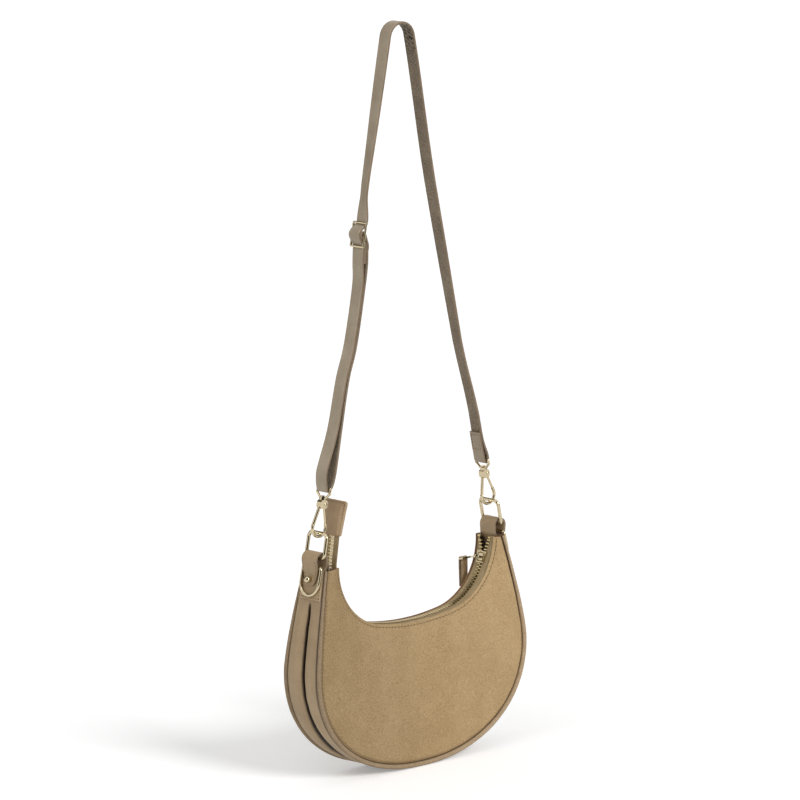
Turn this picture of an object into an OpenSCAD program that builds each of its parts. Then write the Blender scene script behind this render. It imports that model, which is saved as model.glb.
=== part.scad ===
// Half moon shoulder bag with a zipped mouth, hung from its strap.
// X runs along the bag, the front faces -Y, and +Z is up.
// The origin is the underside of the strap's top, where the bag hangs.

/* [Bag body] */
// Length of the bag across the welts at its widest level
bag_w = 264; // [230:1:300]
// Height from the bottom seam to the tips of the horns
bag_h = 200; // [180:1:230]
// Depth across the two side seams at the widest level
bag_d = 46; // [40:1:56]
// Depth across the two side seams under the bag
base_d = 40; // [34:1:50]
// Depth across the two side seams at the tips of the horns
horn_d = 30; // [28:1:36]
// How far each horn's tip lies inside the widest part of the bag
horn_in = 20.5; // [14:0.5:28]
// Height of the horns above the widest level
wide_drop = 98; // [84:1:112]
// Thickness of the suede panels
panel_t = 1.8; // [1.2:0.1:2.2]
// How far each panel bulges past its seams
crown = 7; // [2:0.5:12]
// Thickness of the gusset leather
gusset_t = 1.4; // [1:0.1:1.8]
// Depth of the fold that runs along the gusset
fold_depth = 11; // [5:0.5:14]
// Diameter of the welt along each seam
welt_d = 4.4; // [3:0.1:5.4]
// Thickness of the lining cloth
lining_t = 0.8; // [0.5:0.1:1.2]

/* [Mouth and zip] */
// Mean width of a horn's tip, from the mouth to the seam
horn_l = 14.5; // [13:0.5:17]
// How far the middle of the mouth dips below the horns
mouth_drop = 66; // [60:1:70]
// Radius of the shallow arc at the bottom of the mouth
mouth_low_r = 260; // [220:5:320]
// How far the middle of the mouth lies towards the open end of the zip
mouth_shift = 4; // [0:0.5:5]
// Width of the gap between the two panels at the middle of the mouth
mouth_gap = 17.5; // [17:0.5:20]
// Width of that gap at the horns
horn_gap = 22; // [20:0.5:23]
// Pitch of the teeth on one tape
tooth_pitch = 3.2; // [3:0.1:4.5]
// Length of one tooth along the tape
tooth_l = 1.35; // [1.1:0.05:1.4]
// Height of a tooth through the tape
tooth_h = 2.4; // [2:0.1:2.6]
// Thickness of the zip tape
tape_t = 0.8; // [0.5:0.1:1]
// Length of the slider
slider_l = 11; // [9:0.5:12]
// Height of the zip tail's end above the horns
tail_h = 61; // [58:1:74]
// Height of the leather end on the zip tail
end_tab_h = 33; // [26:1:38]
// Width of that leather end at its top
end_tab_w = 30; // [26:1:34]
// Length of the metal puller
puller_l = 21; // [20:0.5:23]
// Length of the leather pull that hangs from the puller
pull_l = 27; // [20:1:32]

/* [Ends and rings] */
// Width of the tab that holds the rings
tab_w = 20; // [18:0.5:20.5]
// Thickness of the tab leather
tab_t = 1.8; // [1.4:0.1:2]
// Diameter of the ball on the tab's stud
ball_d = 6.6; // [5.5:0.1:7.5]
// Wire of the upper ring
ring_wire = 3.4; // [2.8:0.1:3.8]
// Width of the upper ring between the middles of its legs
ring_w = 24.5; // [24:0.1:27]
// Height of the upper ring between the middles of its bars
ring_h = 23.5; // [21:0.5:27]
// Wire of the lower ring
d_wire = 3; // [2.6:0.1:3.2]
// Width of the lower ring between the middles of its legs
d_ring_w = 24.5; // [24:0.1:26]
// Height of the lower ring between its bar and its bow
d_ring_h = 27; // [24:0.5:32]

/* [Snap hooks] */
// Wire of the hook
hook_wire = 3; // [2.6:0.1:3.2]
// Width of the hook's bow between the middles of its wire
bow_w = 16; // [15:0.5:19]
// Height from the bow's wire to the gate's pin
hook_h = 30; // [27:0.5:34]
// Wire of the gate
gate_wire = 2.4; // [2:0.1:2.6]
// Diameter of the gate's pin
gate_pin_d = 1.8; // [1.4:0.1:2]
// Diameter of the swivel post
post_d = 2.6; // [2.2:0.1:3]
// Height of the swivel eye from its collar to its bar
eye_h = 8; // [7:0.5:10]

/* [Strap] */
// Height of the strap's top above the horns
strap_drop = 494; // [420:1:560]
// Width of the strap
strap_w = 14; // [12:0.5:14.5]
// Thickness of the strap
strap_t = 2.2; // [1.8:0.1:2.4]
// Radius of the middle of the strap over its top
strap_top_r = 15; // [12:0.5:22]
// Distance of the slide buckle's middle bar from the left eye
buckle_up = 235; // [150:5:330]
// Length of the slide buckle between its end bars
buckle_l = 22; // [21:0.5:26]
// Wire of the slide buckle
buckle_wire = 2.2; // [1.8:0.1:2.4]

/* [Hidden] */

// Fineness of round wires and of the swept sheets
wire_fn = 24;
rim_steps = 60;
zip_steps = 48;

// Running gap between a pin and its bore, gap between sewn layers, and overrun of cuts
pin_gap = 0.05;
seat_gap = 0.25;
free_gap = 0.4;
cut_over = 1;

// Shares that shape the outline of the panels
lower_share = 0.64;
bulge_power = 2.2;
taper_power = 1.35;
crown_shares = [0.75, 1];

// Colours of leather, metal and cloth
suede = [0.67, 0.56, 0.40];
smooth = [0.60, 0.54, 0.46];
dark = [0.16, 0.12, 0.09];
tape_colour = [0.62, 0.55, 0.42];
gold = [0.85, 0.75, 0.52];

// Derived sizes of the bag
welt_r = welt_d / 2;
half_w = bag_w / 2 - welt_r;
horn_half = bag_w / 2 - horn_in;
low_h = bag_h - wide_drop;

// Derived sizes of the mouth: a shallow arc between two tighter ones that end upright
mouth_half_w = horn_half - horn_l;
mouth_side_r = (2 * mouth_low_r * mouth_drop - pow(mouth_half_w, 2) - pow(mouth_drop, 2))
  / (2 * (mouth_low_r - mouth_half_w));
mouth_turn = asin((mouth_half_w - mouth_side_r) / (mouth_low_r - mouth_side_r));

function mix(a, b, t) = a + (b - a) * t;
function unit(v) = v / norm(v);
function clamp01(t) = max(0, min(1, t));
function smooth01(t) = let (c = clamp01(t)) c * c * (3 - 2 * c);

// Where the seam runs, from the left horn at -1 round the bottom to the right horn at 1
function rim_up(s) = (abs(s) - lower_share) / (1 - lower_share);
function rim(s) =
  let (side = s < 0 ? -1 : 1, turn = 90 * abs(s) / lower_share)
  abs(s) < lower_share
    ? [side * half_w * pow(sin(turn), 2 / bulge_power),
       -wide_drop - low_h * pow(cos(turn), 2 / bulge_power)]
    : [side * (half_w - (half_w - horn_half) * pow(rim_up(s), taper_power)),
       -wide_drop * (1 - rim_up(s))];
rim_probe = 0.004;
function rim_out(s) =
  let (c = max(-1 + rim_probe, min(1 - rim_probe, s)),
       d = rim(c + rim_probe) - rim(c - rim_probe))
  unit([d[1], -d[0]]);
function rim_half_d(s) =
  abs(s) < lower_share
    ? mix(base_d, bag_d, pow(sin(90 * abs(s) / lower_share), 2)) / 2
    : mix(bag_d, horn_d, pow(rim_up(s), taper_power)) / 2;

// A point off the seam: out of the bag by n, towards the front or back by y
function rim_at(s, n, y) = let (p = rim(s) + n * rim_out(s)) [p[0], y, p[1]];

// The mouth's path by its angle, which runs from -90 at the left horn to 90 at the right one,
// and its length from the middle. grow moves the path out into the panels
function mouth_r(a) = abs(a) <= mouth_turn ? mouth_low_r : mouth_side_r;
function mouth_centre(a) =
  abs(a) <= mouth_turn ? [mouth_shift, mouth_low_r - mouth_drop]
  : [mouth_shift + sign(a) * (mouth_half_w - mouth_side_r), 0];
function mouth_point(a, grow) = mouth_centre(a) + (mouth_r(a) + grow) * [sin(a), -cos(a)];
function mouth_run(a, grow) =
  sign(a) * PI / 180 * ((mouth_low_r + grow) * min(abs(a), mouth_turn)
                        + (mouth_side_r + grow) * max(0, abs(a) - mouth_turn));
function run_turn(l, grow) =
  let (low = mouth_run(mouth_turn, grow))
  abs(l) <= low ? l / (mouth_low_r + grow) * 180 / PI
  : sign(l) * (mouth_turn + (abs(l) - low) / (mouth_side_r + grow) * 180 / PI);
mouth_half_l = mouth_run(90, 0);
function mouth_s(a) = mouth_run(a, 0) / mouth_half_l;

// The mouth's edge and half its gap
function mouth(s) = mouth_point(run_turn(s * mouth_half_l, 0), 0);
function mouth_half(s) = mix(mouth_gap, horn_gap, s * s) / 2;

// A point on a panel: v runs from the mouth at 0 to the welt at 1,
// and skin is the distance inwards from the outer face
function panel_len(s) = norm(rim(s) - mouth(s)) - welt_r - seat_gap;
function panel_y(s, v) =
  mix(mouth_half(s), rim_half_d(s), pow(v, crown_shares[0]))
  + crown * sin(180 * v) * pow(cos(90 * s), crown_shares[1]);
function panel_xz(s, v) = mix(mouth(s), rim(s) - (welt_r + seat_gap) * rim_out(s), v);
function panel_at(s, v, side, skin) =
  let (p = panel_xz(s, v)) [p[0], side * (panel_y(s, v) + panel_t / 2 - skin), p[1]];

// The fold of the gusset dies out under the end patches
fold_end_share = 0.86;
fold_full_share = 0.66;
function fold_at(s) =
  fold_depth * smooth01((fold_end_share - abs(s)) / (fold_end_share - fold_full_share));
gusset_y_shares = [-1, -0.55, -0.12, 0.12, 0.55, 1];
gusset_n_shares = [0, 0.12, 1, 1, 0.12, 0];
// The fold is narrower at its outer end, by this share
gusset_narrow_share = 0.45;
function gusset_half(s) = rim_half_d(s) - welt_r - seat_gap;
function gusset_row(s, skin, narrow) =
  [for (k = [0:5])
    rim_at(s, gusset_t / 2 - skin - fold_at(s) * gusset_n_shares[k],
           gusset_y_shares[k] * gusset_half(s)
           * (gusset_n_shares[k] == 1 ? narrow : 1))];

// Closed sheet or tube swept through rings that have the same number of points
module loft(rings, flip = false) {
  n = len(rings[0]);
  m = len(rings);
  sides = [for (i = [0:m - 2], j = [0:n - 1])
    let (a = i * n + j, b = i * n + (j + 1) % n)
    each [[a, b, b + n], [a, b + n, a + n]]];
  first = [for (k = [0:n / 2 - 2]) each [[k, n - 1 - k, n - 2 - k], [k, n - 2 - k, k + 1]]];
  last = [for (f = first) [for (i = [2:-1:0]) f[i] + (m - 1) * n]];
  all = concat(sides, first, last);
  polyhedron(points = [for (r = rings) each r],
             faces = flip ? [for (f = all) [f[2], f[1], f[0]]] : all, convexity = 6);
}
function back_to_front(row) = [for (i = [len(row) - 1:-1:0]) row[i]];

// Everything below is placed from the level of the horns, under the strap's top
module at_horns() { translate([0, 0, -strap_drop]) children(); }

// Panels

panel_v_shares = [0, 0.12, 0.28, 0.46, 0.64, 0.82, 1];
module panel(side) {
  rings = [for (i = [0:rim_steps]) let (s = 2 * i / rim_steps - 1)
    concat([for (v = panel_v_shares) panel_at(s, v, side, 0)],
           back_to_front([for (v = panel_v_shares) panel_at(s, v, side, panel_t)]))];
  at_horns() loft(rings, side < 0);
}
module front_panel() { color(suede) panel(-1); }
module back_panel() { color(suede) panel(1); }

// Gusset, with its fold

module gusset() {
  rings = [for (i = [0:rim_steps]) let (s = 2 * i / rim_steps - 1)
    concat(gusset_row(s, 0, gusset_narrow_share), back_to_front(gusset_row(s, gusset_t, 1)))];
  color(smooth) at_horns() difference() {
    loft(rings, true);
    for (side = [-1, 1]) stud_hole(side);
  }
}

// Welts: a round cord of leather along each seam, thin at the horns

welt_sides = 8;
welt_end_share = 0.55;
function welt_size(s) = mix(welt_end_share, 1, smooth01((1 - abs(s)) / (1 - lower_share)));
module welt(side) {
  rings = [for (i = [0:rim_steps]) let (s = 2 * i / rim_steps - 1)
    [for (k = [0:welt_sides - 1]) let (a = 360 * (k + 0.5) / welt_sides)
      rim_at(s, welt_r * welt_size(s) * cos(a),
             side * rim_half_d(s) + welt_r * welt_size(s) * sin(a))]];
  color(suede) at_horns() loft(rings, true);
}
module front_welt() { welt(-1); }
module back_welt() { welt(1); }

// Lining: one sheet down the front, across the gusset and up the back

lining_end_share = 0.86;
facing_h = 16;
facing_max_share = 0.7;
function facing_v(s) = min(facing_h / panel_len(s), facing_max_share);
lining_v_shares = [0, 0.33, 0.66, 1];
lining_rim_share = 0.93;
lining_skin = panel_t + free_gap;
function lining_side(s, side, skin, rows) =
  [for (t = rows)
    panel_at(s, mix(facing_v(s) + seat_gap / panel_len(s), lining_rim_share, t), side, skin)];
lining_y_shares = [-0.8, -0.4, 0.4, 0.8];
lining_fold_shares = [0.35, 1.1, 1.1, 0.35];
function lining_base(s, skin) =
  [for (k = [0:3])
    rim_at(s, -gusset_t / 2 - free_gap - skin - welt_r / 2 - fold_at(s) * lining_fold_shares[k],
           lining_y_shares[k] * (gusset_half(s) - welt_r))];
function lining_row(s, skin) = concat(
  lining_side(s, -1, lining_skin + skin, lining_v_shares),
  lining_base(s, skin),
  back_to_front(lining_side(s, 1, lining_skin + skin, lining_v_shares)));
module lining() {
  rings = [for (i = [0:rim_steps]) let (s = (2 * i / rim_steps - 1) * lining_end_share)
    concat(lining_row(s, 0), back_to_front(lining_row(s, lining_t)))];
  color(dark) at_horns() loft(rings, true);
}

// Slip pocket sewn on the back of the lining, on the same grid of points

pocket_steps = 24;
module inner_pocket() {
  rows = [for (i = [1:3]) lining_v_shares[i]];
  rings = [for (i = [0:pocket_steps])
    let (s = (2 * i - pocket_steps) / rim_steps * lining_end_share,
         outer = lining_side(s, 1, lining_skin + lining_t + seat_gap, rows),
         inner = lining_side(s, 1, lining_skin + 2 * lining_t + seat_gap, rows))
    concat(outer, back_to_front(inner))];
  color(dark) at_horns() loft(rings);
}

// Facings: leather bands inside the mouth, behind the zip tape and clear of the slider

plate_t = 1.2;
plate_gap = tooth_h / 2 + free_gap;
facing_t = 1;
zip_sink = (tooth_h - tape_t) / 2;
facing_top_max_share = 0.45;
function facing_top_v(s) =
  min(facing_top_max_share, (zip_sink + plate_gap + plate_t + free_gap) / panel_len(s));
facing_rise_share = 0.3;
module facing(side) {
  skin = panel_t + tape_t + 4 * seat_gap;
  rows = [0, facing_rise_share, 1];
  rings = [for (i = [0:zip_steps]) let (s = 2 * i / zip_steps - 1, top = facing_top_v(s))
    concat([for (t = rows) panel_at(s, mix(top, facing_v(s), t), side, skin)],
           back_to_front([for (t = rows)
             panel_at(s, mix(top, facing_v(s), t), side, skin + facing_t)]))];
  color(smooth) at_horns() loft(rings, side < 0);
}
module front_facing() { facing(-1); }
module back_facing() { facing(1); }

// Zip: its path is the mouth's, then a short bend into the upright tail

zip_left_angle = 84;
slider_angle = 71;
zip_bend_r = 40;
tail_lean = 9;
zip_start = mouth_run(-zip_left_angle, zip_sink);
tail_bend = 90 + tail_lean - zip_left_angle;
bend_at = mouth_centre(-zip_left_angle)
  - (mouth_side_r + zip_sink - zip_bend_r) * [sin(zip_left_angle), cos(zip_left_angle)];
tail_at = bend_at + zip_bend_r * [-sin(90 + tail_lean), -cos(90 + tail_lean)];
tail_l = (tail_h - tail_at[1]) / cos(tail_lean);

// Length along the zip from the left end of its arc: positive to the right, negative up the tail
bend_l = zip_bend_r * tail_bend * PI / 180;
arc_l = mouth_run(90, zip_sink) - zip_start;
slider_at = mouth_run(slider_angle, zip_sink) - zip_start;
// Direction angle of the path at a length: 0 lies flat, negative climbs to the left
function zip_turn(l) =
  l >= 0 ? run_turn(l + zip_start, zip_sink)
  : l >= -bend_l ? l / zip_bend_r * 180 / PI - zip_left_angle
  : -(90 + tail_lean);
function zip_xz(l) =
  l >= 0 ? mouth_point(zip_turn(l), zip_sink)
  : l >= -bend_l ? bend_at + zip_bend_r * [sin(zip_turn(l)), -cos(zip_turn(l))]
  : tail_at + (-l - bend_l) * [sin(tail_lean), cos(tail_lean)];
// Moves children from a flat zip, with x along it and z up, to a place on the path
module on_zip(l) {
  p = zip_xz(l);
  translate([p[0], 0, p[1]]) rotate([0, -zip_turn(l), 0]) children();
}

// The two tapes part inside the slider and spread to the right horn
tooth_reach = 3.2;
tooth_mesh = 0.6;
tape_in = tooth_reach - 3.5 * seat_gap;
post_part = 1.5;
horn_part = (horn_gap - panel_t) / 2 - tooth_reach - 2 * seat_gap - tape_t;
tail_half = 8;
function zip_part(l) =
  l < slider_at ? 0
  : l < slider_at + slider_l / 2 ? post_part * (l - slider_at) * 2 / slider_l
  : mix(post_part, horn_part, smooth01((l - slider_at - slider_l / 2)
                                       / (arc_l - slider_at - slider_l / 2)));
function tape_out(l) =
  l > 0 ? mouth_half(mouth_s(zip_turn(l))) - panel_t / 2 - seat_gap - tape_t
  : mix(mouth_half(mouth_s(-zip_left_angle)) - panel_t / 2 - seat_gap - tape_t, tail_half,
        smooth01(-l / bend_l));
function tape_point(l, y, up) =
  let (p = zip_xz(l), a = zip_turn(l)) [p[0] - up * sin(a), y, p[1] + up * cos(a)];
tape_hem = 5;
hem_end_share = 0.3;
function hem_at(l) =
  tape_hem * smooth01(1 + 3 * l / bend_l) * clamp01((arc_l - l) / tape_hem + hem_end_share);

// How far the panel has spread from its mouth at the foot of the hem
function hem_out(l) = l <= 0 ? 0
  : let (s = mouth_s(zip_turn(l)), depth = zip_sink + tape_t / 2 + hem_at(l))
    panel_y(s, depth / panel_len(s)) - mouth_half(s) - seat_gap / 2;

// The tapes end inside the leather end, this share of its height below its top
tab_seam_share = 0.2;
tail_end = -tail_l - bend_l + end_tab_h * tab_seam_share;
module zip_tape(side) {
  stations = concat([tail_end, tail_end / 2 - bend_l / 2],
                    [for (i = [0:6]) -bend_l * (1 - i / 6)],
                    [for (i = [1:zip_steps]) arc_l * i / zip_steps]);
  rings = [for (l = stations)
    let (i = side * (tape_in + zip_part(l)), o = side * tape_out(l), h = hem_at(l),
         t = side * tape_t, f = o + side * hem_out(l))
    [tape_point(l, i, tape_t / 2), tape_point(l, o + t, tape_t / 2),
     tape_point(l, f + t, -tape_t / 2 - h), tape_point(l, f, -tape_t / 2 - h),
     tape_point(l, o, -tape_t / 2), tape_point(l, i, -tape_t / 2)]];
  color(tape_colour) at_horns() loft(rings, side < 0);
}
module front_zip_tape() { zip_tape(-1); }
module back_zip_tape() { zip_tape(1); }

// One tooth, lying across the tape's edge with its rounded head over the middle
tooth_neck_share = 0.7;
module tooth() {
  translate([0, 0, -tooth_h / 2]) linear_extrude(height = tooth_h)
    polygon([[-tooth_l / 2, -tooth_reach], [tooth_l / 2, -tooth_reach],
             [tooth_l / 2 * tooth_neck_share, -tooth_mesh], [tooth_l / 2, 0],
             [tooth_l / 4, tooth_mesh], [-tooth_l / 4, tooth_mesh], [-tooth_l / 2, 0],
             [-tooth_l / 2 * tooth_neck_share, -tooth_mesh]]);
}
teeth_end = arc_l - tooth_pitch;
module zip_teeth(side) {
  shift = side < 0 ? 0 : tooth_pitch / 2;
  color(gold) at_horns() for (l = [tail_end + tooth_pitch + shift : tooth_pitch : teeth_end])
    on_zip(l) translate([0, side * zip_part(l), 0]) rotate([0, 0, side < 0 ? 0 : 180]) tooth();
}
module front_zip_teeth() { zip_teeth(-1); }
module back_zip_teeth() { zip_teeth(1); }

// Clamps at the right ends of the two rows of teeth
module zip_stops() {
  color(gold) at_horns() for (side = [-1, 1])
    on_zip(arc_l - tooth_l) translate([0, side * (horn_part + tooth_reach / 2), 0])
      cube([tooth_l, tooth_reach, tooth_h], center = true);
}

// Corner points of an outline, each rounded to its own radius
corner_steps = 6;
function corner(p, q, r, radius) =
  let (a = unit(p - q), b = unit(r - q), half = acos(a * b) / 2,
       c = q + unit(a + b) * radius / sin(half),
       from = q + a * radius / tan(half) - c, to = q + b * radius / tan(half) - c,
       w = acos(min(1, max(-1, from * to / (radius * radius)))))
  radius == 0 ? [q]
  : [for (i = [0:corner_steps]) let (t = i / corner_steps)
      c + (sin((1 - t) * w) * from + sin(t * w) * to) / sin(w)];
function rounded(points, radii) =
  [for (i = [0:len(points) - 1])
    each corner(points[(i + len(points) - 1) % len(points)], points[i],
                points[(i + 1) % len(points)], radii[i])];

// Leather end of the zip tail: a pocket of leather, wide at its top, over the tapes' end
end_tab_base_share = 0.68;
end_tab_t = 1.3;
end_tab_r = 3;
module zip_end_tab() {
  base = end_tab_w * end_tab_base_share / 2;
  top = end_tab_w / 2;
  room = tooth_h / 2 + seat_gap;
  shape = rounded([[0, -top], [0, top], [end_tab_h, base], [end_tab_h, -base]],
                  [end_tab_r, end_tab_r, end_tab_r / 2, end_tab_r / 2]);
  color(smooth) at_horns() on_zip(-bend_l - tail_l) difference() {
    translate([0, 0, -end_tab_t - room])
      linear_extrude(height = 2 * (end_tab_t + room)) polygon(shape);
    translate([end_tab_h * tab_seam_share - seat_gap, -tail_half - tape_t - seat_gap, -room])
      cube([end_tab_h, 2 * (tail_half + tape_t + seat_gap), 2 * room]);
  }
}

// Slider: two plates over and under the teeth, joined by a post at the open end
slot_half = tape_t / 2 + free_gap;
flange_w = 0.9;
slider_tail_half = tooth_reach + 2 * seat_gap + flange_w;
slider_nose_half = slider_tail_half + post_part + seat_gap;
slider_post_share = 0.2;
bridge_wire = 1.4;
bridge_h = 3.8;
bridge_share = 0.36;
module slider_outline(inset, over) {
  l = slider_l / 2 + over;
  polygon(rounded([[-l, inset - slider_tail_half], [0, inset - slider_tail_half],
                   [l, inset - slider_nose_half], [l, slider_nose_half - inset],
                   [0, slider_tail_half - inset], [-l, slider_tail_half - inset]],
                  [0, 0, flange_w - inset, flange_w - inset, 0, 0]));
}
module slider_body() {
  difference() {
    translate([0, 0, -plate_gap - plate_t])
      linear_extrude(height = 2 * (plate_gap + plate_t)) slider_outline(0, 0);
    translate([0, 0, -plate_gap])
      linear_extrude(height = 2 * plate_gap) slider_outline(flange_w, cut_over);
    cube([slider_l + cut_over, 4 * slider_nose_half, 2 * slot_half], center = true);
  }
  post_l = slider_l * slider_post_share;
  translate([slider_l / 2 - post_l, 0, -plate_gap - plate_t / 2])
    linear_extrude(height = 2 * plate_gap + plate_t)
      polygon([[0, 0], [post_l, tooth_mesh], [post_l, -tooth_mesh]]);
  // Bridge that holds the puller
  top = plate_gap + plate_t;
  reach = slider_l * bridge_share;
  for (x = [-reach, reach]) {
    translate([x, 0, top - plate_t / 2])
      cylinder(h = bridge_h + plate_t / 2, d = bridge_wire, $fn = wire_fn);
    translate([x, 0, top + bridge_h]) sphere(d = bridge_wire, $fn = wire_fn);
  }
  translate([-reach, 0, top + bridge_h]) rotate([0, 90, 0])
    cylinder(h = 2 * reach, d = bridge_wire, $fn = wire_fn);
}
module zip_slider() { color(gold) at_horns() on_zip(slider_at) slider_body(); }

// Puller: a loose eye on the slider's bridge, a stem over the back edge of the bag,
// and a small frame whose far bar holds the leather pull
puller_t = 1;
puller_drop = 14;
puller_bar = 1.6;
eye_hole_r = 2.1;
eye_wall = 1;
frame_l = 4.2;
pull_w = 8;
pull_t = 1.1;
frame_half = pull_w / 2 + free_gap;
bridge_up = plate_gap + plate_t + bridge_h;
bridge_at = zip_xz(slider_at) + bridge_up * [-sin(slider_angle), cos(slider_angle)];
module zip_puller() {
  eye_y = eye_hole_r - bridge_wire / 2 - seat_gap;
  near = puller_l - frame_l - puller_bar / 2;
  from = eye_y + eye_hole_r - seat_gap;
  color(gold) at_horns() translate([bridge_at[0], 0, bridge_at[1]]) {
    rotate([0, -slider_angle, 0]) rotate([90, 0, 90]) translate([0, 0, -puller_bar / 2])
      linear_extrude(height = puller_bar) translate([eye_y, 0]) difference() {
        circle(r = eye_hole_r + eye_wall, $fn = 2 * wire_fn);
        circle(r = eye_hole_r, $fn = 2 * wire_fn);
      }
    rotate([-puller_drop, 0, 0]) {
      translate([-puller_t / 2, from, -puller_bar / 2])
        cube([puller_t, near - from, puller_bar]);
      translate([-frame_half - puller_t, near - puller_bar / 2, -puller_bar / 2])
        cube([2 * (frame_half + puller_t), puller_bar, puller_bar]);
      for (side = [-1, 1])
        translate([side * (frame_half + puller_t / 2) - puller_t / 2, near, -puller_bar / 2])
          cube([puller_t, puller_l - near, puller_bar]);
      translate([-frame_half - puller_t, puller_l, 0]) rotate([0, 90, 0])
        cylinder(h = 2 * (frame_half + puller_t), d = puller_bar, $fn = wire_fn);
    }
  }
}

// Leather pull: a strip folded over the puller's far bar, hanging behind the bag
pull_at = [bridge_at[0], puller_l * cos(puller_drop), bridge_at[1] - puller_l * sin(puller_drop)];
fold_turns = 8;
module leather_pull() {
  r = puller_bar / 2 + seat_gap + pull_t / 2;
  fold = concat([[r, -pull_l]],
                [for (i = [0:fold_turns]) let (a = 180 * i / fold_turns) r * [cos(a), sin(a)]],
                [[-r, -pull_l]]);
  color(smooth) at_horns() translate(pull_at) translate([-pull_w / 2, 0, 0])
    rotate([90, 0, 90]) linear_extrude(height = pull_w) polygon(ribbon(fold, pull_t));
}

// A flat ribbon of an even thickness along a list of points
function turned(v) = [-v[1], v[0]];
function side_of(points, i) =
  let (a = points[max(0, i - 1)], b = points[min(len(points) - 1, i + 1)]) turned(unit(b - a));
function ribbon(points, t) = concat(
  [for (i = [0:len(points) - 1]) points[i] + side_of(points, i) * t / 2],
  [for (i = [len(points) - 1:-1:0]) points[i] - side_of(points, i) * t / 2]);

// Places on the outside of the gusset near the horns, at a depth h below them
function s_at(h) = 1 - (1 - lower_share) * h / wide_drop;
function side_xz(h, n) = rim(s_at(h)) + n * rim_out(s_at(h));

// Tabs: a strip that goes over the rings and is held by a stud through the gusset
patch_t = 1.4;
patch_h = 28;
tab_loop_up = 9.5;
tab_loop_r = 6.4;
stud_down = 10;
tab_tail = 15;
tab_end_share = 0.6;
shank_d = 2.4;
ring_up = 10.5;
d_up = 3;
d_out = 3;
loop_in = 0.5;
loop_x = horn_half + loop_in;
out_n = gusset_t / 2 + patch_t + 2 * seat_gap + tab_t / 2;
in_n = gusset_t / 2 + seat_gap + tab_t / 2;
stud_dir = rim_out(s_at(stud_down));
stud_tilt = atan2(stud_dir[1], stud_dir[0]);
loop_turns = 12;
loop_from = -15;

// Places children with +Z out of the gusset, at the stud of one end
module at_stud(side) {
  p = rim(s_at(stud_down));
  translate([side * p[0], 0, p[1]]) rotate([0, side * (90 - stud_tilt), 0]) children();
}
module stud_hole(side) {
  at_stud(side) translate([0, 0, -in_n - tab_t])
    cylinder(h = in_n + out_n + 2 * tab_t, d = shank_d + 2 * seat_gap, $fn = wire_fn);
}
module tab(side) {
  path = concat(
    [side_xz(tab_tail, out_n), side_xz(stud_down - stud_head_d / 2 - tab_t / 2, out_n)],
    [for (i = [0:loop_turns]) let (a = mix(loop_from, 180, i / loop_turns))
      [loop_x + tab_loop_r * cos(a), tab_loop_up + tab_loop_r * sin(a)]],
    [[loop_x - tab_loop_r + tab_t / 4, tab_t],
     side_xz(stud_down - stud_head_d / 2 - tab_t / 2, -in_n),
     side_xz(tab_tail, -in_n)]);
  wide = tab_w / 2;
  slim = wide * tab_end_share;
  top = tab_loop_up + 2 * tab_loop_r;
  shape = rounded([[-slim, -tab_tail], [slim, -tab_tail], [wide, 0],
                   [wide, top], [-wide, top], [-wide, 0]],
                  [slim / 2, slim / 2, slim / 2, 0, 0, slim / 2]);
  color(smooth) at_horns() difference() {
    intersection() {
      mirror([side < 0 ? 1 : 0, 0, 0]) rotate([90, 0, 0]) translate([0, 0, -wide])
        linear_extrude(height = tab_w) polygon(ribbon(path, tab_t));
      rotate([90, 0, 90]) translate([0, 0, -bag_w]) linear_extrude(height = 2 * bag_w)
        polygon(shape);
    }
    stud_hole(side);
  }
}
module left_tab() { tab(-1); }
module right_tab() { tab(1); }

// Stud: a ball outside, a shank through the layers and a flat head inside
stud_head_d = 6;
stud_foot_d = 5;
stud_foot_t = 0.9;
module stud(side) {
  from = -in_n - tab_t / 2 - pin_gap;
  to = out_n + tab_t / 2 + pin_gap;
  color(gold) at_horns() at_stud(side) {
    translate([0, 0, from - stud_foot_t])
      cylinder(h = stud_foot_t, d = stud_head_d, $fn = wire_fn);
    translate([0, 0, from - stud_foot_t / 2])
      cylinder(h = to - from + stud_foot_t, d = shank_d, $fn = wire_fn);
    translate([0, 0, to]) cylinder(h = stud_foot_t, d = stud_foot_d, $fn = wire_fn);
    translate([0, 0, to + ball_d / 2]) sphere(d = ball_d, $fn = wire_fn);
  }
}
module left_stud() { stud(-1); }
module right_stud() { stud(1); }

// End patches: leather sewn over the top of the gusset
patch_steps = 8;
patch_y_shares = [-1, -0.5, 0.5, 1];
module end_patch(side) {
  near = gusset_t / 2 + seat_gap;
  rings = [for (i = [0:patch_steps]) let (s = side * s_at(patch_h * (1 - i / patch_steps)))
    concat([for (k = patch_y_shares) rim_at(s, near + patch_t, k * gusset_half(s))],
           back_to_front([for (k = patch_y_shares) rim_at(s, near, k * gusset_half(s))]))];
  color(smooth) at_horns() difference() {
    loft(rings, side > 0);
    stud_hole(side);
  }
}
module left_end_patch() { end_patch(-1); }
module right_end_patch() { end_patch(1); }

// A straight length of round wire
module wire(a, b, d) {
  v = b - a;
  translate(a) rotate([0, acos(v[2] / norm(v)), atan2(v[1], v[0])])
    cylinder(h = norm(v), d = d, $fn = wire_fn);
}
// A bend of wire in the YZ plane about the origin, between two angles from +Y
module bend_yz(r, d, from, to) {
  rotate([90, 0, 90]) rotate([0, 0, from]) rotate_extrude(angle = to - from, $fn = 2 * wire_fn)
    translate([r, 0]) circle(d = d, $fn = wire_fn);
}

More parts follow.
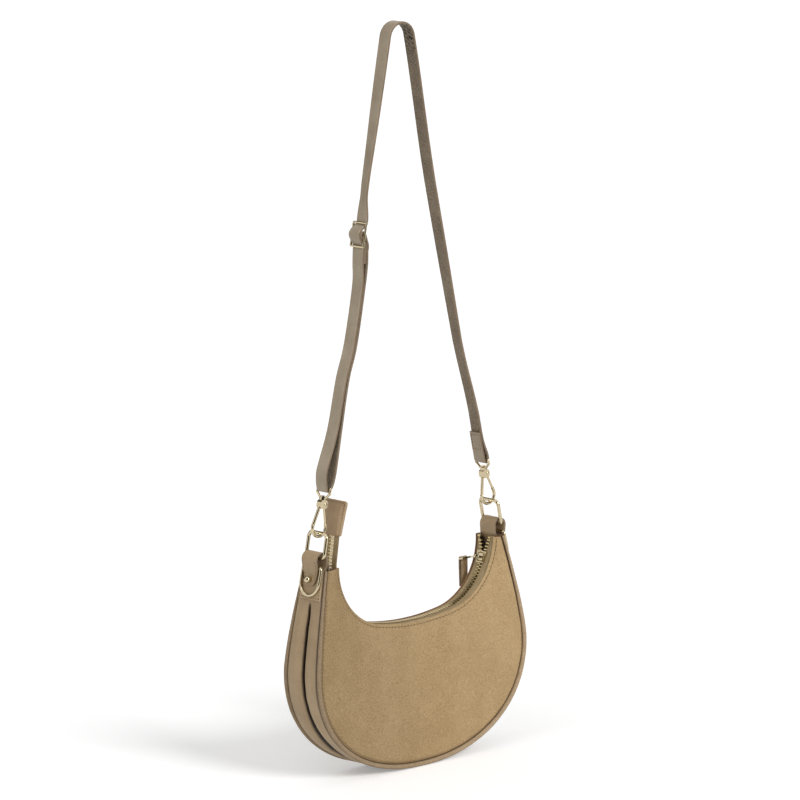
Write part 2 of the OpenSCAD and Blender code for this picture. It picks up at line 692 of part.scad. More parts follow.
// Upper ring: a rectangle of wire with round corners, its lower bar on the origin
ring_corner = 5;
module ring_shape() {
  c = ring_corner;
  y = ring_w / 2;
  for (s = [-1, 1]) {
    wire([0, s * y, c], [0, s * y, ring_h - c], ring_wire);
    translate([0, s * (y - c), c]) bend_yz(c, ring_wire, s > 0 ? 270 : 180, s > 0 ? 360 : 270);
    translate([0, s * (y - c), ring_h - c])
      bend_yz(c, ring_wire, s > 0 ? 0 : 90, s > 0 ? 90 : 180);
  }
  for (z = [0, ring_h]) wire([0, c - y, z], [0, y - c, z], ring_wire);
}

// Lower ring: a straight bar on the origin and a round bow hanging from it
module d_ring_shape() {
  r = d_ring_w / 2;
  c = d_wire;
  straight = d_ring_h - r;
  wire([0, c - r, 0], [0, r - c, 0], d_wire);
  for (s = [-1, 1]) {
    translate([0, s * (r - c), -c]) bend_yz(c, d_wire, s > 0 ? 0 : 90, s > 0 ? 90 : 180);
    wire([0, s * r, -straight], [0, s * r, -c], d_wire);
  }
  translate([0, 0, -straight]) bend_yz(r, d_wire, 180, 360);
}

// Each end's chain leans in, in line with the strap's leg
rise = strap_drop + strap_t / 2 - strap_top_r - ring_up;
chain_lean = atan2(loop_x, rise) - asin(strap_top_r / norm([loop_x, rise]));
chain_l = sqrt(loop_x * loop_x + rise * rise - strap_top_r * strap_top_r);

// Heights along the chain, from the lower bar of the upper ring
hook_bow_up = ring_h - ring_wire / 2 - hook_wire / 2 - free_gap;
hub_up = hook_bow_up + hook_h;
hub_h = 8;
hub_w = 8.4;
hub_d = 6;
hub_round_share = 1.1;
collar_h = 2.6;
collar_d = 6.8;
swivel_gap = 0.2;
collar_up = hub_up + hub_h / 2 + swivel_gap;
eye_up = collar_up + collar_h + eye_h;

// Places children made for a chain at either end
module at_chain(side) {
  at_horns() translate([side * loop_x, 0, ring_up]) rotate([0, -side * chain_lean, 0]) children();
}
module left_ring() { color(gold) at_chain(-1) ring_shape(); }
module right_ring() { color(gold) at_chain(1) ring_shape(); }

// The lower ring's bow rests on the end patch
d_touch_n = gusset_t / 2 + seat_gap + patch_t + free_gap + d_wire / 2;
d_touch = side_xz(d_ring_h - d_up, d_touch_n);
d_lean = asin((d_touch[0] - loop_x - d_out) / d_ring_h);
module d_ring(side) {
  color(gold) at_horns() translate([side * (loop_x + d_out), 0, d_up])
    rotate([0, -side * d_lean, 0]) d_ring_shape();
}
module left_d_ring() { d_ring(-1); }
module right_d_ring() { d_ring(1); }

// Hook: a teardrop of wire, open on the gate's side, with a forked hub at its top.
// The gate faces +X at both ends
bow_r = bow_w / 2;
pin_x = 2;
spine_x = -2.2;
bow_c = hook_bow_up + bow_r;
root_r = 2.2;
nose_l = 3;
spine_end_share = 0.9;
fork_gap = gate_wire + 2 * pin_gap;
// Angle on the bow where a straight side meets it without a corner
function side_angle(x) =
  let (v = [x, hub_up - bow_c], open = acos(bow_r / norm(v)), mid = atan2(v[1], v[0]))
  x > 0 ? mid - open : mid + open;
function bow_at(a) = [bow_r * cos(a), 0, bow_c + bow_r * sin(a)];
spine_angle = side_angle(spine_x);
nose_angle = side_angle(pin_x);
pin_at = [pin_x, 0, hub_up];
gate_way = unit(pin_at - bow_at(nose_angle));
spine_top = mix(bow_at(spine_angle), [spine_x, 0, hub_up], spine_end_share);
gate_l = norm(pin_at - bow_at(nose_angle)) - nose_l - seat_gap;
module hub() {
  difference() {
    intersection() {
      translate([-hub_w / 2, -hub_d / 2, hub_up - hub_h / 2]) cube([hub_w, hub_d, hub_h]);
      translate([0, 0, hub_up]) rotate([90, 0, 0])
        cylinder(h = 2 * hub_d, d = hub_w * hub_round_share, center = true, $fn = 2 * wire_fn);
    }
    translate([pin_x - root_r - seat_gap, -fork_gap / 2, hub_up - hub_h])
      cube([hub_w, fork_gap, hub_h + root_r + seat_gap]);
    translate(pin_at) rotate([90, 0, 0])
      cylinder(h = 2 * hub_d, d = gate_pin_d, center = true, $fn = wire_fn);
  }
}
module hook_shape() {
  hub();
  translate([0, 0, bow_c]) rotate([90, 0, 0]) rotate([0, 0, spine_angle])
    rotate_extrude(angle = nose_angle - spine_angle + 360, $fn = 2 * wire_fn)
      translate([bow_r, 0]) circle(d = hook_wire, $fn = wire_fn);
  wire(bow_at(spine_angle), spine_top, hook_wire);
  wire(bow_at(nose_angle), bow_at(nose_angle) + nose_l * gate_way, hook_wire);
  for (a = [spine_angle, nose_angle])
    translate(bow_at(a)) sphere(d = eye_knee_share * hook_wire, $fn = wire_fn);
}
module left_hook() { color(gold) at_chain(-1) hook_shape(); }
module right_hook() { color(gold) at_chain(1) hook_shape(); }

// Gate: a rod that turns on the pin and closes on the hook's nose.
// Half of its root makes room for the spring
spring_wire = 0.7;
spring_room = spring_wire + 2 * pin_gap;
root_inset = 2 * pin_gap;
module gate_shape() {
  difference() {
    union() {
      translate(pin_at) rotate([90, 0, 0])
        cylinder(h = gate_wire - 2 * root_inset, r = root_r, center = true, $fn = 2 * wire_fn);
      wire(pin_at - gate_l * gate_way, pin_at - gate_pin_d * gate_way, gate_wire);
    }
    translate(pin_at) rotate([90, 0, 0])
      cylinder(h = 2 * hub_d, d = gate_pin_d + 2 * pin_gap, center = true, $fn = wire_fn);
    translate(pin_at + [0, gate_wire / 2 - spring_room + hub_d, 0]) rotate([90, 0, 0])
      cylinder(h = hub_d, r = root_r + root_inset, $fn = 2 * wire_fn);
  }
}
module left_gate() { color(gold) at_chain(-1) gate_shape(); }
module right_gate() { color(gold) at_chain(1) gate_shape(); }

module gate_pin_shape() {
  translate(pin_at) rotate([90, 0, 0])
    cylinder(h = hub_d, d = gate_pin_d, center = true, $fn = wire_fn);
}
module left_gate_pin() { color(gold) at_chain(-1) gate_pin_shape(); }
module right_gate_pin() { color(gold) at_chain(1) gate_pin_shape(); }

// Gate spring: one turn of fine wire round the pin, with a leg that presses on the hub
spring_r = gate_pin_d / 2 + pin_gap + spring_wire / 2;
module gate_spring_shape() {
  translate(pin_at + [0, gate_wire / 2 - spring_room / 2, 0]) {
    rotate([90, 0, 0]) rotate([0, 0, 180]) rotate_extrude(angle = 330, $fn = wire_fn)
      translate([spring_r, 0]) circle(d = spring_wire, $fn = wire_fn / 2);
    wire([-spring_r, 0, 0], [-spring_r, 0, root_r - spring_wire / 2], spring_wire);
  }
}
module left_gate_spring() { color("silver") at_chain(-1) gate_spring_shape(); }
module right_gate_spring() { color("silver") at_chain(1) gate_spring_shape(); }

// Swivel post: it stands on the hub and turns in the eye's collar under its round head
post_head_d = 3.8;
post_head_t = 1.2;
module post_shape() {
  translate([0, 0, hub_up + hub_h / 2])
    cylinder(h = collar_h + 2 * swivel_gap, d = post_d, $fn = wire_fn);
  translate([0, 0, collar_up + collar_h + swivel_gap])
    cylinder(h = post_head_t, d = post_head_d, $fn = wire_fn);
}
module left_swivel_post() { color(gold) at_chain(-1) post_shape(); }
module right_swivel_post() { color(gold) at_chain(1) post_shape(); }

// Swivel eye: a collar on the post, and a loop that the strap passes through
eye_wire = 2.4;
eye_knee_share = 1.1;
eye_half = strap_w / 2 + free_gap + eye_wire / 2;
eye_straight = eye_wire / 2 + strap_t + 2 * free_gap;
module eye_shape() {
  difference() {
    union() {
      translate([0, 0, collar_up]) cylinder(h = collar_h, d = collar_d, $fn = 2 * wire_fn);
      for (s = [-1, 1])
        wire([0, s * collar_d / 2, collar_up + collar_h / 2],
             [0, s * eye_half, eye_up - eye_straight], eye_wire);
    }
    translate([0, 0, collar_up - cut_over])
      cylinder(h = collar_h + cut_over, d = post_d + 2 * pin_gap, $fn = wire_fn);
    translate([0, 0, collar_up + collar_h])
      cylinder(h = post_head_t + 2 * swivel_gap, d = post_head_d + 2 * swivel_gap, $fn = wire_fn);
  }
  for (s = [-1, 1]) {
    wire([0, s * eye_half, eye_up - eye_straight], [0, s * eye_half, eye_up], eye_wire);
    for (z = [eye_up - eye_straight, eye_up])
      translate([0, s * eye_half, z]) sphere(d = eye_wire * eye_knee_share, $fn = wire_fn);
  }
  wire([0, -eye_half, eye_up], [0, eye_half, eye_up], eye_wire);
}
module left_swivel_eye() { color(gold) at_chain(-1) eye_shape(); }
module right_swivel_eye() { color(gold) at_chain(1) eye_shape(); }

// Strap: one flat strip, from its end at the right eye over the top, down through the
// slide buckle, round the left eye and up to the buckle's middle bar

up_way = [-sin(chain_lean), cos(chain_lean)];
out_way = [cos(chain_lean), sin(chain_lean)];
eye_at = [loop_x, ring_up] + eye_up * up_way;
leg_l = chain_l - eye_up;
// A place beside a leg: l up from the eye, n out of the strap's loop
function right_leg(l, n) = eye_at + l * up_way + n * out_way;
function left_leg(l, n) = let (p = right_leg(l, n)) [-p[0], p[1]];

wrap_r = eye_wire / 2 + seat_gap + strap_t / 2;
layer = strap_t + seat_gap;
bar_r = buckle_wire / 2 + seat_gap + strap_t / 2;
half_l = buckle_l / 2;
// How far the two strands stand apart above the left eye, and the sewn ends' lengths
strand_gap = 5.5;
fold_l = 28;
end_l = 26;
// Shares of the run that a bend beside a bar or an eye takes up
near_share = 1.3;
bow_share = 1.7;
wrap_turn = 30;
// Radii of the strands that pass round the buckle's bars over one or two other layers
over_r = bar_r + layer + seat_gap;
back_r = over_r + layer + seat_gap;
slant = 45;
back_slant = asin((back_r - bar_r) / half_l);
// A place on a strand of radius r round the buckle's bar at l from its middle bar
function by_bar(l, r, a) = left_leg(buckle_up + l + r * sin(a), r * cos(a));
// Below the buckle the strands bow in together: shares of its height, the bow and their gap
bow_in = 9;
bow_lean = bow_in / 5;
pair_half = (layer + seat_gap) / 2;
pair_shares = [[0.8, 1, 1], [0.57, 0.95, 1], [0.43, 0.5, 1.1], [0.23, 0.35, 1.7]];
function strand(side) =
  [for (p = pair_shares) left_leg(buckle_up * p[0], side * pair_half * p[2] - bow_in * p[1])];
function eye_strand(side) =
  [left_leg(3 * strand_gap, side * strand_gap), left_leg(2 * wrap_r, side * wrap_r * bow_share)];

right_end = [for (p = [[fold_l, -layer - seat_gap], [fold_l / 2, -layer - seat_gap],
                       [2 * wrap_r, -wrap_r]]) right_leg(p[0], p[1])];
right_wrap = [for (a = [180:wrap_turn:360]) right_leg(wrap_r * sin(a), wrap_r * cos(a))];
right_run = [for (p = [[2 * wrap_r, wrap_r], [fold_l * 3 / 4, 0], [fold_l * bow_share, 0],
                       [leg_l / 2, 0]]) right_leg(p[0], p[1])];
top_steps = 14;
top_turn = [for (i = [0:top_steps]) let (a = mix(chain_lean, 180 - chain_lean, i / top_steps))
  [strap_top_r * cos(a), strap_drop + strap_t / 2 - strap_top_r + strap_top_r * sin(a)]];
left_run = concat(
  [left_leg((leg_l + buckle_up) / 2, 0), left_leg(buckle_up + 2 * buckle_l, 0),
   left_leg(buckle_up + near_share * half_l, -bar_r)],
  [for (a = [180, 180 + slant]) by_bar(half_l, bar_r, a)],
  [for (a = [slant, 0, -slant]) by_bar(0, over_r, a)],
  [for (a = [180 - slant, 180]) by_bar(-half_l, bar_r, a)],
  [left_leg(buckle_up - near_share * half_l, -bar_r),
   left_leg(buckle_up - end_l, -bar_r - bow_lean)],
  strand(1), eye_strand(1));
left_wrap = [for (a = [360:-wrap_turn:180]) left_leg(wrap_r * sin(a), wrap_r * cos(a))];
left_back = concat(
  back_to_front(concat(strand(-1), eye_strand(-1))),
  [left_leg(buckle_up - end_l, -back_r - bow_lean),
   left_leg(buckle_up - near_share * half_l, -back_r)],
  [for (a = [180, 180 - back_slant]) by_bar(-half_l, back_r, a)]);
bar_steps = 7;
bar_wrap = [for (i = [0:bar_steps])
  by_bar(0, bar_r, mix(180 - back_slant, -slant, i / bar_steps))];
left_end = concat(
  [for (a = [180 - slant, 180]) by_bar(-half_l, over_r, a)],
  [left_leg(buckle_up - near_share * half_l, -over_r),
   left_leg(buckle_up - end_l, -over_r - bow_lean)]);

// A smooth line through points, with some steps between each pair
function slope(a, b, c, here) = (c - a) / 2 * min(1, here / max(here, norm(b - a), norm(c - b)) * 2);
function spline(p, steps) = [for (i = [0:len(p) - 2], k = [0:steps - 1])
  let (t = k / steps, a = p[max(0, i - 1)], b = p[i], c = p[i + 1], d = p[min(len(p) - 1, i + 2)],
       run = norm(c - b), m = slope(a, b, c, run), n = slope(b, c, d, run))
  (2 * t * t * t - 3 * t * t + 1) * b + (t * t * t - 2 * t * t + t) * m
  + (3 * t * t - 2 * t * t * t) * c + (t * t * t - t * t) * n];
strap_steps = 4;
strap_path = spline(concat(right_end, right_wrap, right_run, top_turn, left_run, left_wrap,
                           left_back, bar_wrap, left_end), strap_steps);
module strap() {
  color(smooth) at_horns() rotate([90, 0, 0]) translate([0, 0, -strap_w / 2])
    linear_extrude(height = strap_w) polygon(ribbon(strap_path, strap_t));
}

// Slide buckle: a flat rectangular frame with a middle bar
buckle_half = strap_w / 2 + free_gap + buckle_wire / 2;
module slide_buckle() {
  c = left_leg(buckle_up, 0);
  color(gold) at_horns() translate([c[0], 0, c[1]]) rotate([0, chain_lean, 0]) {
    for (z = [-half_l, 0, half_l])
      wire([0, -buckle_half, z], [0, buckle_half, z], buckle_wire);
    for (s = [-1, 1]) {
      wire([0, s * buckle_half, -half_l], [0, s * buckle_half, half_l], buckle_wire);
      for (z = [-half_l, half_l]) translate([0, s * buckle_half, z])
        sphere(d = buckle_wire, $fn = wire_fn);
    }
  }
}

strap();
slide_buckle();
left_swivel_eye();
right_swivel_eye();
left_swivel_post();
left_hook();
left_gate();
left_gate_pin();
left_gate_spring();
right_swivel_post();
right_hook();
right_gate();
right_gate_pin();
right_gate_spring();
left_ring();
right_ring();
left_d_ring();
right_d_ring();
left_tab();
right_tab();
left_stud();
right_stud();
left_end_patch();
right_end_patch();
front_panel();
back_panel();
gusset();
front_welt();
back_welt();
lining();
inner_pocket();
front_facing();
back_facing();
front_zip_tape();
back_zip_tape();
front_zip_teeth();
back_zip_teeth();
zip_stops();
zip_end_tab();
zip_slider();
zip_puller();
leather_pull();
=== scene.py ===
# %% [markdown]
# # Half moon shoulder bag
# The metal parts come from the CAD model and get better finishes here. Every leather and
# cloth part is modelled again as a thin sheet, because real leather has rolled edges,
# stitches, puckers and a nap that the plain CAD solid leaves out.

from functools import partial
from math import asin, atan2, copysign, cos, degrees, exp, hypot, pi, radians, sin, sqrt

import bmesh
import bpy
from mathutils import Matrix, Vector, noise


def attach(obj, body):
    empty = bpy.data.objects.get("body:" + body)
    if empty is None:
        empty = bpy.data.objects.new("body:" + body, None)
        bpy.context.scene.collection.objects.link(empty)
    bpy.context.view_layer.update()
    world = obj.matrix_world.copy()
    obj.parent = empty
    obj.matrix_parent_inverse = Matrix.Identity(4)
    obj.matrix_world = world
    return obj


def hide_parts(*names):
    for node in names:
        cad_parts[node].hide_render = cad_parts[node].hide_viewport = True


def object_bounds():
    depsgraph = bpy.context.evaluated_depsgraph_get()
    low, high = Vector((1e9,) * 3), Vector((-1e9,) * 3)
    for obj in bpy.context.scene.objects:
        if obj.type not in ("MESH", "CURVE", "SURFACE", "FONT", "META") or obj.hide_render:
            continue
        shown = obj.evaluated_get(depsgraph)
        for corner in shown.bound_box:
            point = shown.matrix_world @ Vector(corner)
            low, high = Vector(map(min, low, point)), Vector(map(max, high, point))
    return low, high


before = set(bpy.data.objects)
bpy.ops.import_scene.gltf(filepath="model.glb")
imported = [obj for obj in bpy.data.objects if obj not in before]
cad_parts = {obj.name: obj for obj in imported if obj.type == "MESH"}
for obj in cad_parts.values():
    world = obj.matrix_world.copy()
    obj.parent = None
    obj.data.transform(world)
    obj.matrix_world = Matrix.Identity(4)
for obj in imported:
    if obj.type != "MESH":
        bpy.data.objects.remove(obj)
cad_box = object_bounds()
print("CAD box", [list(c) for c in cad_box])

# %% [markdown]
# The sizes below repeat those of the CAD model, in metres. All heights are counted from the
# tips of the bag's horns, and HORN_Z moves them into the shared frame, whose origin is the
# underside of the strap's top.

# %% Sizes of the bag
MM = 0.001
HORN_Z = -494 * MM
bag_w, bag_h, bag_d, base_d, horn_d = 264 * MM, 200 * MM, 46 * MM, 40 * MM, 30 * MM
horn_w, wide_drop, panel_t, crown = 223 * MM, 98 * MM, 1.8 * MM, 7 * MM
gusset_t, fold_depth, welt_d, lining_t = 1.4 * MM, 11 * MM, 4.4 * MM, 0.8 * MM
mouth_w, mouth_drop, mouth_low_r, mouth_shift = 194 * MM, 66 * MM, 260 * MM, 4 * MM
mouth_gap, horn_gap = 17.5 * MM, 22 * MM
seat_gap, free_gap = 0.25 * MM, 0.4 * MM
SIDES, ENDS = ((-1, "front"), (1, "back")), ((-1, "left"), (1, "right"))
lower_share, bulge_power, taper_power = 0.64, 2.2, 1.35
welt_r = welt_d / 2
half_w, horn_half, low_h = bag_w / 2 - welt_r, horn_w / 2, bag_h - wide_drop
mouth_side_r = ((2 * mouth_low_r * mouth_drop - (mouth_w / 2) ** 2 - mouth_drop ** 2)
                / (2 * mouth_low_r - mouth_w))
mouth_turn = asin((mouth_w / 2 - mouth_side_r) / (mouth_low_r - mouth_side_r))
print("radius of the mouth's sides", round(mouth_side_r, 4))

# %% Small helpers for numbers
def mix(a, b, t):
    return a + (b - a) * t

def shares(n):
    """0 to 1 in n even steps."""
    return [i / n for i in range(n + 1)]

def smooth01(t):
    c = max(0.0, min(1.0, t))
    return c * c * (3 - 2 * c)

def bell(distance, width):
    return exp(-(distance / width) ** 2)

def xz(x, z):
    return Vector((x, 0, z))

def up_at(a):
    """The way that points up, once it is turned by an angle towards the left."""
    return xz(-sin(a), cos(a))

def in_frame(p, y):
    """A point of the bag's XZ outline, moved to a depth y in the shared frame."""
    return Vector((p.x, y, p.z + HORN_Z))

def ripple(seed, *at):
    """Smooth noise from -1 to 1 that is the same on every run."""
    return noise.noise(Vector((seed * 7.31, at[0], at[1] if len(at) > 1 else 0.0)))

# %% [markdown]
# The bag's outline is a rounded half moon. One number, s, runs along the side seam from the
# left horn at -1, round the bottom at 0, to the right horn at 1. A second, v, runs across a
# panel from the mouth to the seam. Every sheet below is bent to these two.

# %% Outline of the bag
def rim_up(s):
    return (abs(s) - lower_share) / (1 - lower_share)

def rim(s):
    side = -1 if s < 0 else 1
    if abs(s) < lower_share:
        turn = pi / 2 * abs(s) / lower_share
        low = max(0.0, cos(turn)) ** (2 / bulge_power)
        return xz(side * half_w * sin(turn) ** (2 / bulge_power),
                  -wide_drop - low_h * low)
    up = max(0.0, min(1.0, rim_up(s)))
    return xz(side * (half_w - (half_w - horn_half) * up ** taper_power), -wide_drop * (1 - up))

def rim_out(s):
    probe = 0.004
    c = max(-1 + probe, min(1 - probe, s))
    d = rim(c + probe) - rim(c - probe)
    return xz(d.z, -d.x).normalized()

def rim_half_d(s):
    if abs(s) < lower_share:
        return mix(base_d, bag_d, sin(pi / 2 * abs(s) / lower_share) ** 2) / 2
    return mix(bag_d, horn_d, max(0.0, min(1.0, rim_up(s))) ** taper_power) / 2

def rim_at(s, n, y):
    return in_frame(rim(s) + n * rim_out(s), y)

# %% [markdown]
# The mouth is cut as a shallow arc with a tighter arc at each side, which ends upright at the
# horn. An angle runs along it from -90 degrees at the left horn to 90 at the right one, and
# grow moves the path outwards, to where the zip lies.

# %% Mouth and panels
def mouth_point(a, grow=0.0):
    if abs(a) <= mouth_turn:
        centre, r = xz(mouth_shift, mouth_low_r - mouth_drop), mouth_low_r
    else:
        off = copysign(mouth_w / 2 - mouth_side_r, a)
        centre, r = xz(mouth_shift + off, 0), mouth_side_r
    return centre - (r + grow) * up_at(a)

def mouth_run(a, grow=0.0):
    """Length along the mouth's path from its middle to an angle."""
    return copysign((mouth_low_r + grow) * min(abs(a), mouth_turn)
                         + (mouth_side_r + grow) * max(0.0, abs(a) - mouth_turn), a)

def run_turn(l, grow=0.0):
    low = mouth_run(mouth_turn, grow)
    if abs(l) <= low:
        return l / (mouth_low_r + grow)
    return copysign(mouth_turn + (abs(l) - low) / (mouth_side_r + grow), l)

def mouth_s(a):
    return mouth_run(a) / mouth_run(pi / 2)

def mouth(s):
    return mouth_point(run_turn(s * mouth_run(pi / 2)))

def mouth_half(s):
    return mix(mouth_gap, horn_gap, s * s) / 2

def panel_len(s):
    return (rim(s) - mouth(s)).length - welt_r - seat_gap

def panel_y(s, v):
    spread = mix(mouth_half(s), rim_half_d(s), max(0.0, v) ** 0.75)
    return spread + crown * sin(pi * v) * cos(pi / 2 * s)

def panel_at(s, v, side, skin):
    p = mouth(s).lerp(rim(s) - (welt_r + seat_gap) * rim_out(s), v)
    return in_frame(p, side * (panel_y(s, v) + panel_t / 2 - skin))

fold_end, fold_full = 0.895, 0.845

def fold_at(s):
    return fold_depth * smooth01((fold_end - abs(s)) / (fold_end - fold_full))

def fold_width(s):
    """The fold is a tight crease at the sides and opens towards the bottom."""
    return mix(0.07, 0.19, smooth01((0.56 - abs(s)) / 0.3))

def gusset_half(s):
    return rim_half_d(s) - welt_r - seat_gap

def welt_size(s):
    return mix(0.55, 1, smooth01((1 - abs(s)) / (1 - lower_share)))

print("deepest panel", round(panel_y(0, 0.5), 4))

# %% [markdown]
# ## Finishes
# Each finish is a set of shader nodes that read Object coordinates or the sheet's own UV map,
# which is in metres, so that grain and weave keep their real size. A few small helpers keep
# the node code short: one for each kind of noise, mix and bump that the finishes share.

# %% Helpers for finishes
def fill(socket, value):
    """Put a number, a colour or another node's result into a socket."""
    if isinstance(value, tuple):
        socket.default_value = (*value, 1)
    elif isinstance(value, (int, float)):
        socket.default_value = value
    else:
        socket.id_data.links.new(value, socket)

def put(node, **inputs):
    """Fill a node's inputs by name, with _ for each space in the name."""
    for name, value in inputs.items():
        fill(node.inputs[name.replace("_", " ")], value)
    return node

def add_node(tree, kind, **inputs):
    return put(tree.nodes.new("ShaderNode" + kind), **inputs)

def new_finish(name, colour, roughness, metallic=0.0):
    mat = bpy.data.materials.new(name)
    mat.use_nodes = True
    shader = put(mat.node_tree.nodes["Principled BSDF"], Base_Color=colour,
                 Roughness=roughness, Metallic=metallic)
    return mat, mat.node_tree, shader

def srgb(r, g, b):
    """A colour read off the photograph, as the linear values that a shader takes."""
    return tuple(((c / 255 + 0.055) / 1.055) ** 2.4 if c > 10 else c / 3294.6 for c in (r, g, b))

def coords(tree, uv=False, scale=(1, 1, 1), turn=0.0):
    at = add_node(tree, "TexCoord").outputs["UV" if uv else "Object"]
    place = add_node(tree, "Mapping", Vector=at)
    place.inputs["Scale"].default_value = scale
    place.inputs["Rotation"].default_value = (0, 0, turn)
    return place.outputs["Vector"]

def cloud(tree, at, scale, detail=2.0, rough=0.5):
    return add_node(tree, "TexNoise", Vector=at, Scale=scale, Detail=detail,
                    Roughness=rough).outputs["Fac"]

def cells(tree, at, scale, smooth=0.0):
    n = add_node(tree, "TexVoronoi", Vector=at, Scale=scale)
    if smooth:
        n.feature = "SMOOTH_F1"
        put(n, Smoothness=smooth)
    return n.outputs["Distance"]

def bands(tree, at, scale, distortion, detail, detail_scale=1.0):
    return add_node(tree, "TexWave", Vector=at, Scale=scale, Distortion=distortion,
                    Detail=detail, Detail_Scale=detail_scale).outputs["Fac"]

def ramp(tree, value, low, high, from_v=0.35, to_v=0.65):
    n = add_node(tree, "ValToRGB", Fac=value)
    for stop, place, colour in zip(n.color_ramp.elements, (from_v, to_v), (low, high)):
        stop.position, stop.color = place, (*colour, 1)
    return n.outputs["Color"]

def mask(tree, value, from_v, to_v):
    return ramp(tree, value, (0, 0, 0), (1, 1, 1), from_v, to_v)

def sums(tree, kind, *values):
    n = add_node(tree, "Math")
    n.operation = kind
    for socket, value in zip(n.inputs, values):
        fill(socket, value)
    return n.outputs["Value"]

def along_axis(tree, axis):
    """How far a point lies along X, Y or Z."""
    return add_node(tree, "SeparateXYZ", Vector=coords(tree)).outputs[axis]

def blend_colour(tree, fac, a, b, kind="MIX"):
    n = add_node(tree, "Mix")
    n.data_type, n.blend_type = "RGBA", kind
    for socket, value in ((n.inputs[0], fac), (n.inputs[6], a), (n.inputs[7], b)):
        fill(socket, value)
    return n.outputs[2]

def paint_shade(tree, colour, dark):
    """Painted shade: darker where the sheet's own shade attribute is high, in folds and beside
    seams.
    """
    n = add_node(tree, "Attribute")
    n.attribute_name = "painted_shade"
    return blend_colour(tree, n.outputs["Fac"], colour, dark)

def bump(tree, shader, *layers):
    """Relief from layers of (height, strength, distance), each laid over the one before."""
    relief = {}
    for height, strength, distance in layers:
        n = add_node(tree, "Bump", Height=height, Strength=strength, Distance=distance, **relief)
        relief = {"Normal": n.outputs["Normal"]}
    put(shader, **relief)

# %% [markdown]
# Suede is the flesh side of the hide. Its nap lies this way and that, so it shows soft, cloudy
# lighter strokes and no gloss. Five noises do that: broad clouds, patches where a hand has
# brushed the nap the other way, strokes, tufts, and very fine fibres. On top of that the colour
# grows a little lighter along the bag towards +X, which is painted light from the side.

# %% Suede
def suede_finish(name, dark, mid, light):
    dark, mid, light = srgb(*dark), srgb(*mid), srgb(*light)
    mat, tree, shader = new_finish(name, mid, 0.96)
    at = coords(tree)
    broad = cloud(tree, at, 17, 3, 0.55)
    patch = cloud(tree, coords(tree, scale=(1, 1, 0.6), turn=0.4), 46, 6, 0.62)
    stroke = cloud(tree, coords(tree, scale=(0.45, 1, 1.2)), 90, 4, 0.65)
    tuft = cloud(tree, at, 760, 3, 0.8)
    fibre = cloud(tree, at, 1700, 2, 0.7)
    deep, pale = tuple(c * 0.62 for c in dark), tuple(min(1.0, c * 1.32) for c in light)
    base = ramp(tree, broad, dark, light, 0.36, 0.64)
    patched = blend_colour(tree, 0.6, base, ramp(tree, patch, dark, light, 0.46, 0.55))
    brushed = blend_colour(tree, 0.3, patched, ramp(tree, stroke, dark, light, 0.35, 0.68))
    tufted = blend_colour(tree, 0.62, brushed, ramp(tree, tuft, deep, pale, 0.3, 0.7))
    napped = blend_colour(tree, 0.25, tufted, ramp(tree, fibre, deep, pale, 0.3, 0.7))
    # Painted light: the colour is multiplied by a gradient along X, lighter towards +X.
    painted_light_gradient = sums(tree, "MULTIPLY_ADD", along_axis(tree, "X"), 1.3, 1.0)
    with_painted_light = blend_colour(tree, 1.0, napped, painted_light_gradient, "MULTIPLY")
    # Painted shade in folds and beside seams, from the sheet's shade attribute.
    put(shader, Base_Color=paint_shade(tree, with_painted_light, srgb(58, 40, 26)), Sheen_Weight=0.05,
        Sheen_Roughness=0.6, Sheen_Tint=light, Specular_IOR_Level=0.15)
    bump(tree, shader, (stroke, 0.3, 0.6 * MM), (tuft, 0.35, 0.3 * MM), (fibre, 0.4, 0.2 * MM))
    return mat

suede = suede_finish("suede", (139, 114, 78), (157, 131, 94), (175, 150, 113))
welt_hide = suede_finish("welt_leather", (140, 118, 92), (152, 131, 104), (164, 144, 117))
print("finish", suede.name)

# %% [markdown]
# The gusset, tabs and strap are smooth leather with a fine pebble, and the strap's inner side
# is rougher and darker, with specks, and has painted shade in dark wrinkle lines where it bends
# sharply at the top. A cell pattern makes the pebbles, and a slow noise keeps the colour and the
# gloss from being even.

# %% Smooth leather
def painted_wrinkle_shade(tree, colour, dark, below, reach):
    """Painted shade of short wrinkles across a strap: dark lines, full above a height and gone a
    reach below it.
    """
    wrinkle_shade_lines = mask(tree, bands(tree, coords(tree, True, turn=0.35), 88, 13, 3, 0.9), 0.42, 0.6)
    gaps = mask(tree, cloud(tree, coords(tree, True), 330, 2), 0.4, 0.5)
    near = sums(tree, "MULTIPLY_ADD", along_axis(tree, "Z"), 1 / reach, 1 - below / reach)
    near.node.use_clamp = True
    short = sums(tree, "MULTIPLY", wrinkle_shade_lines, gaps)
    return blend_colour(tree, sums(tree, "MULTIPLY", near, short), colour, dark)

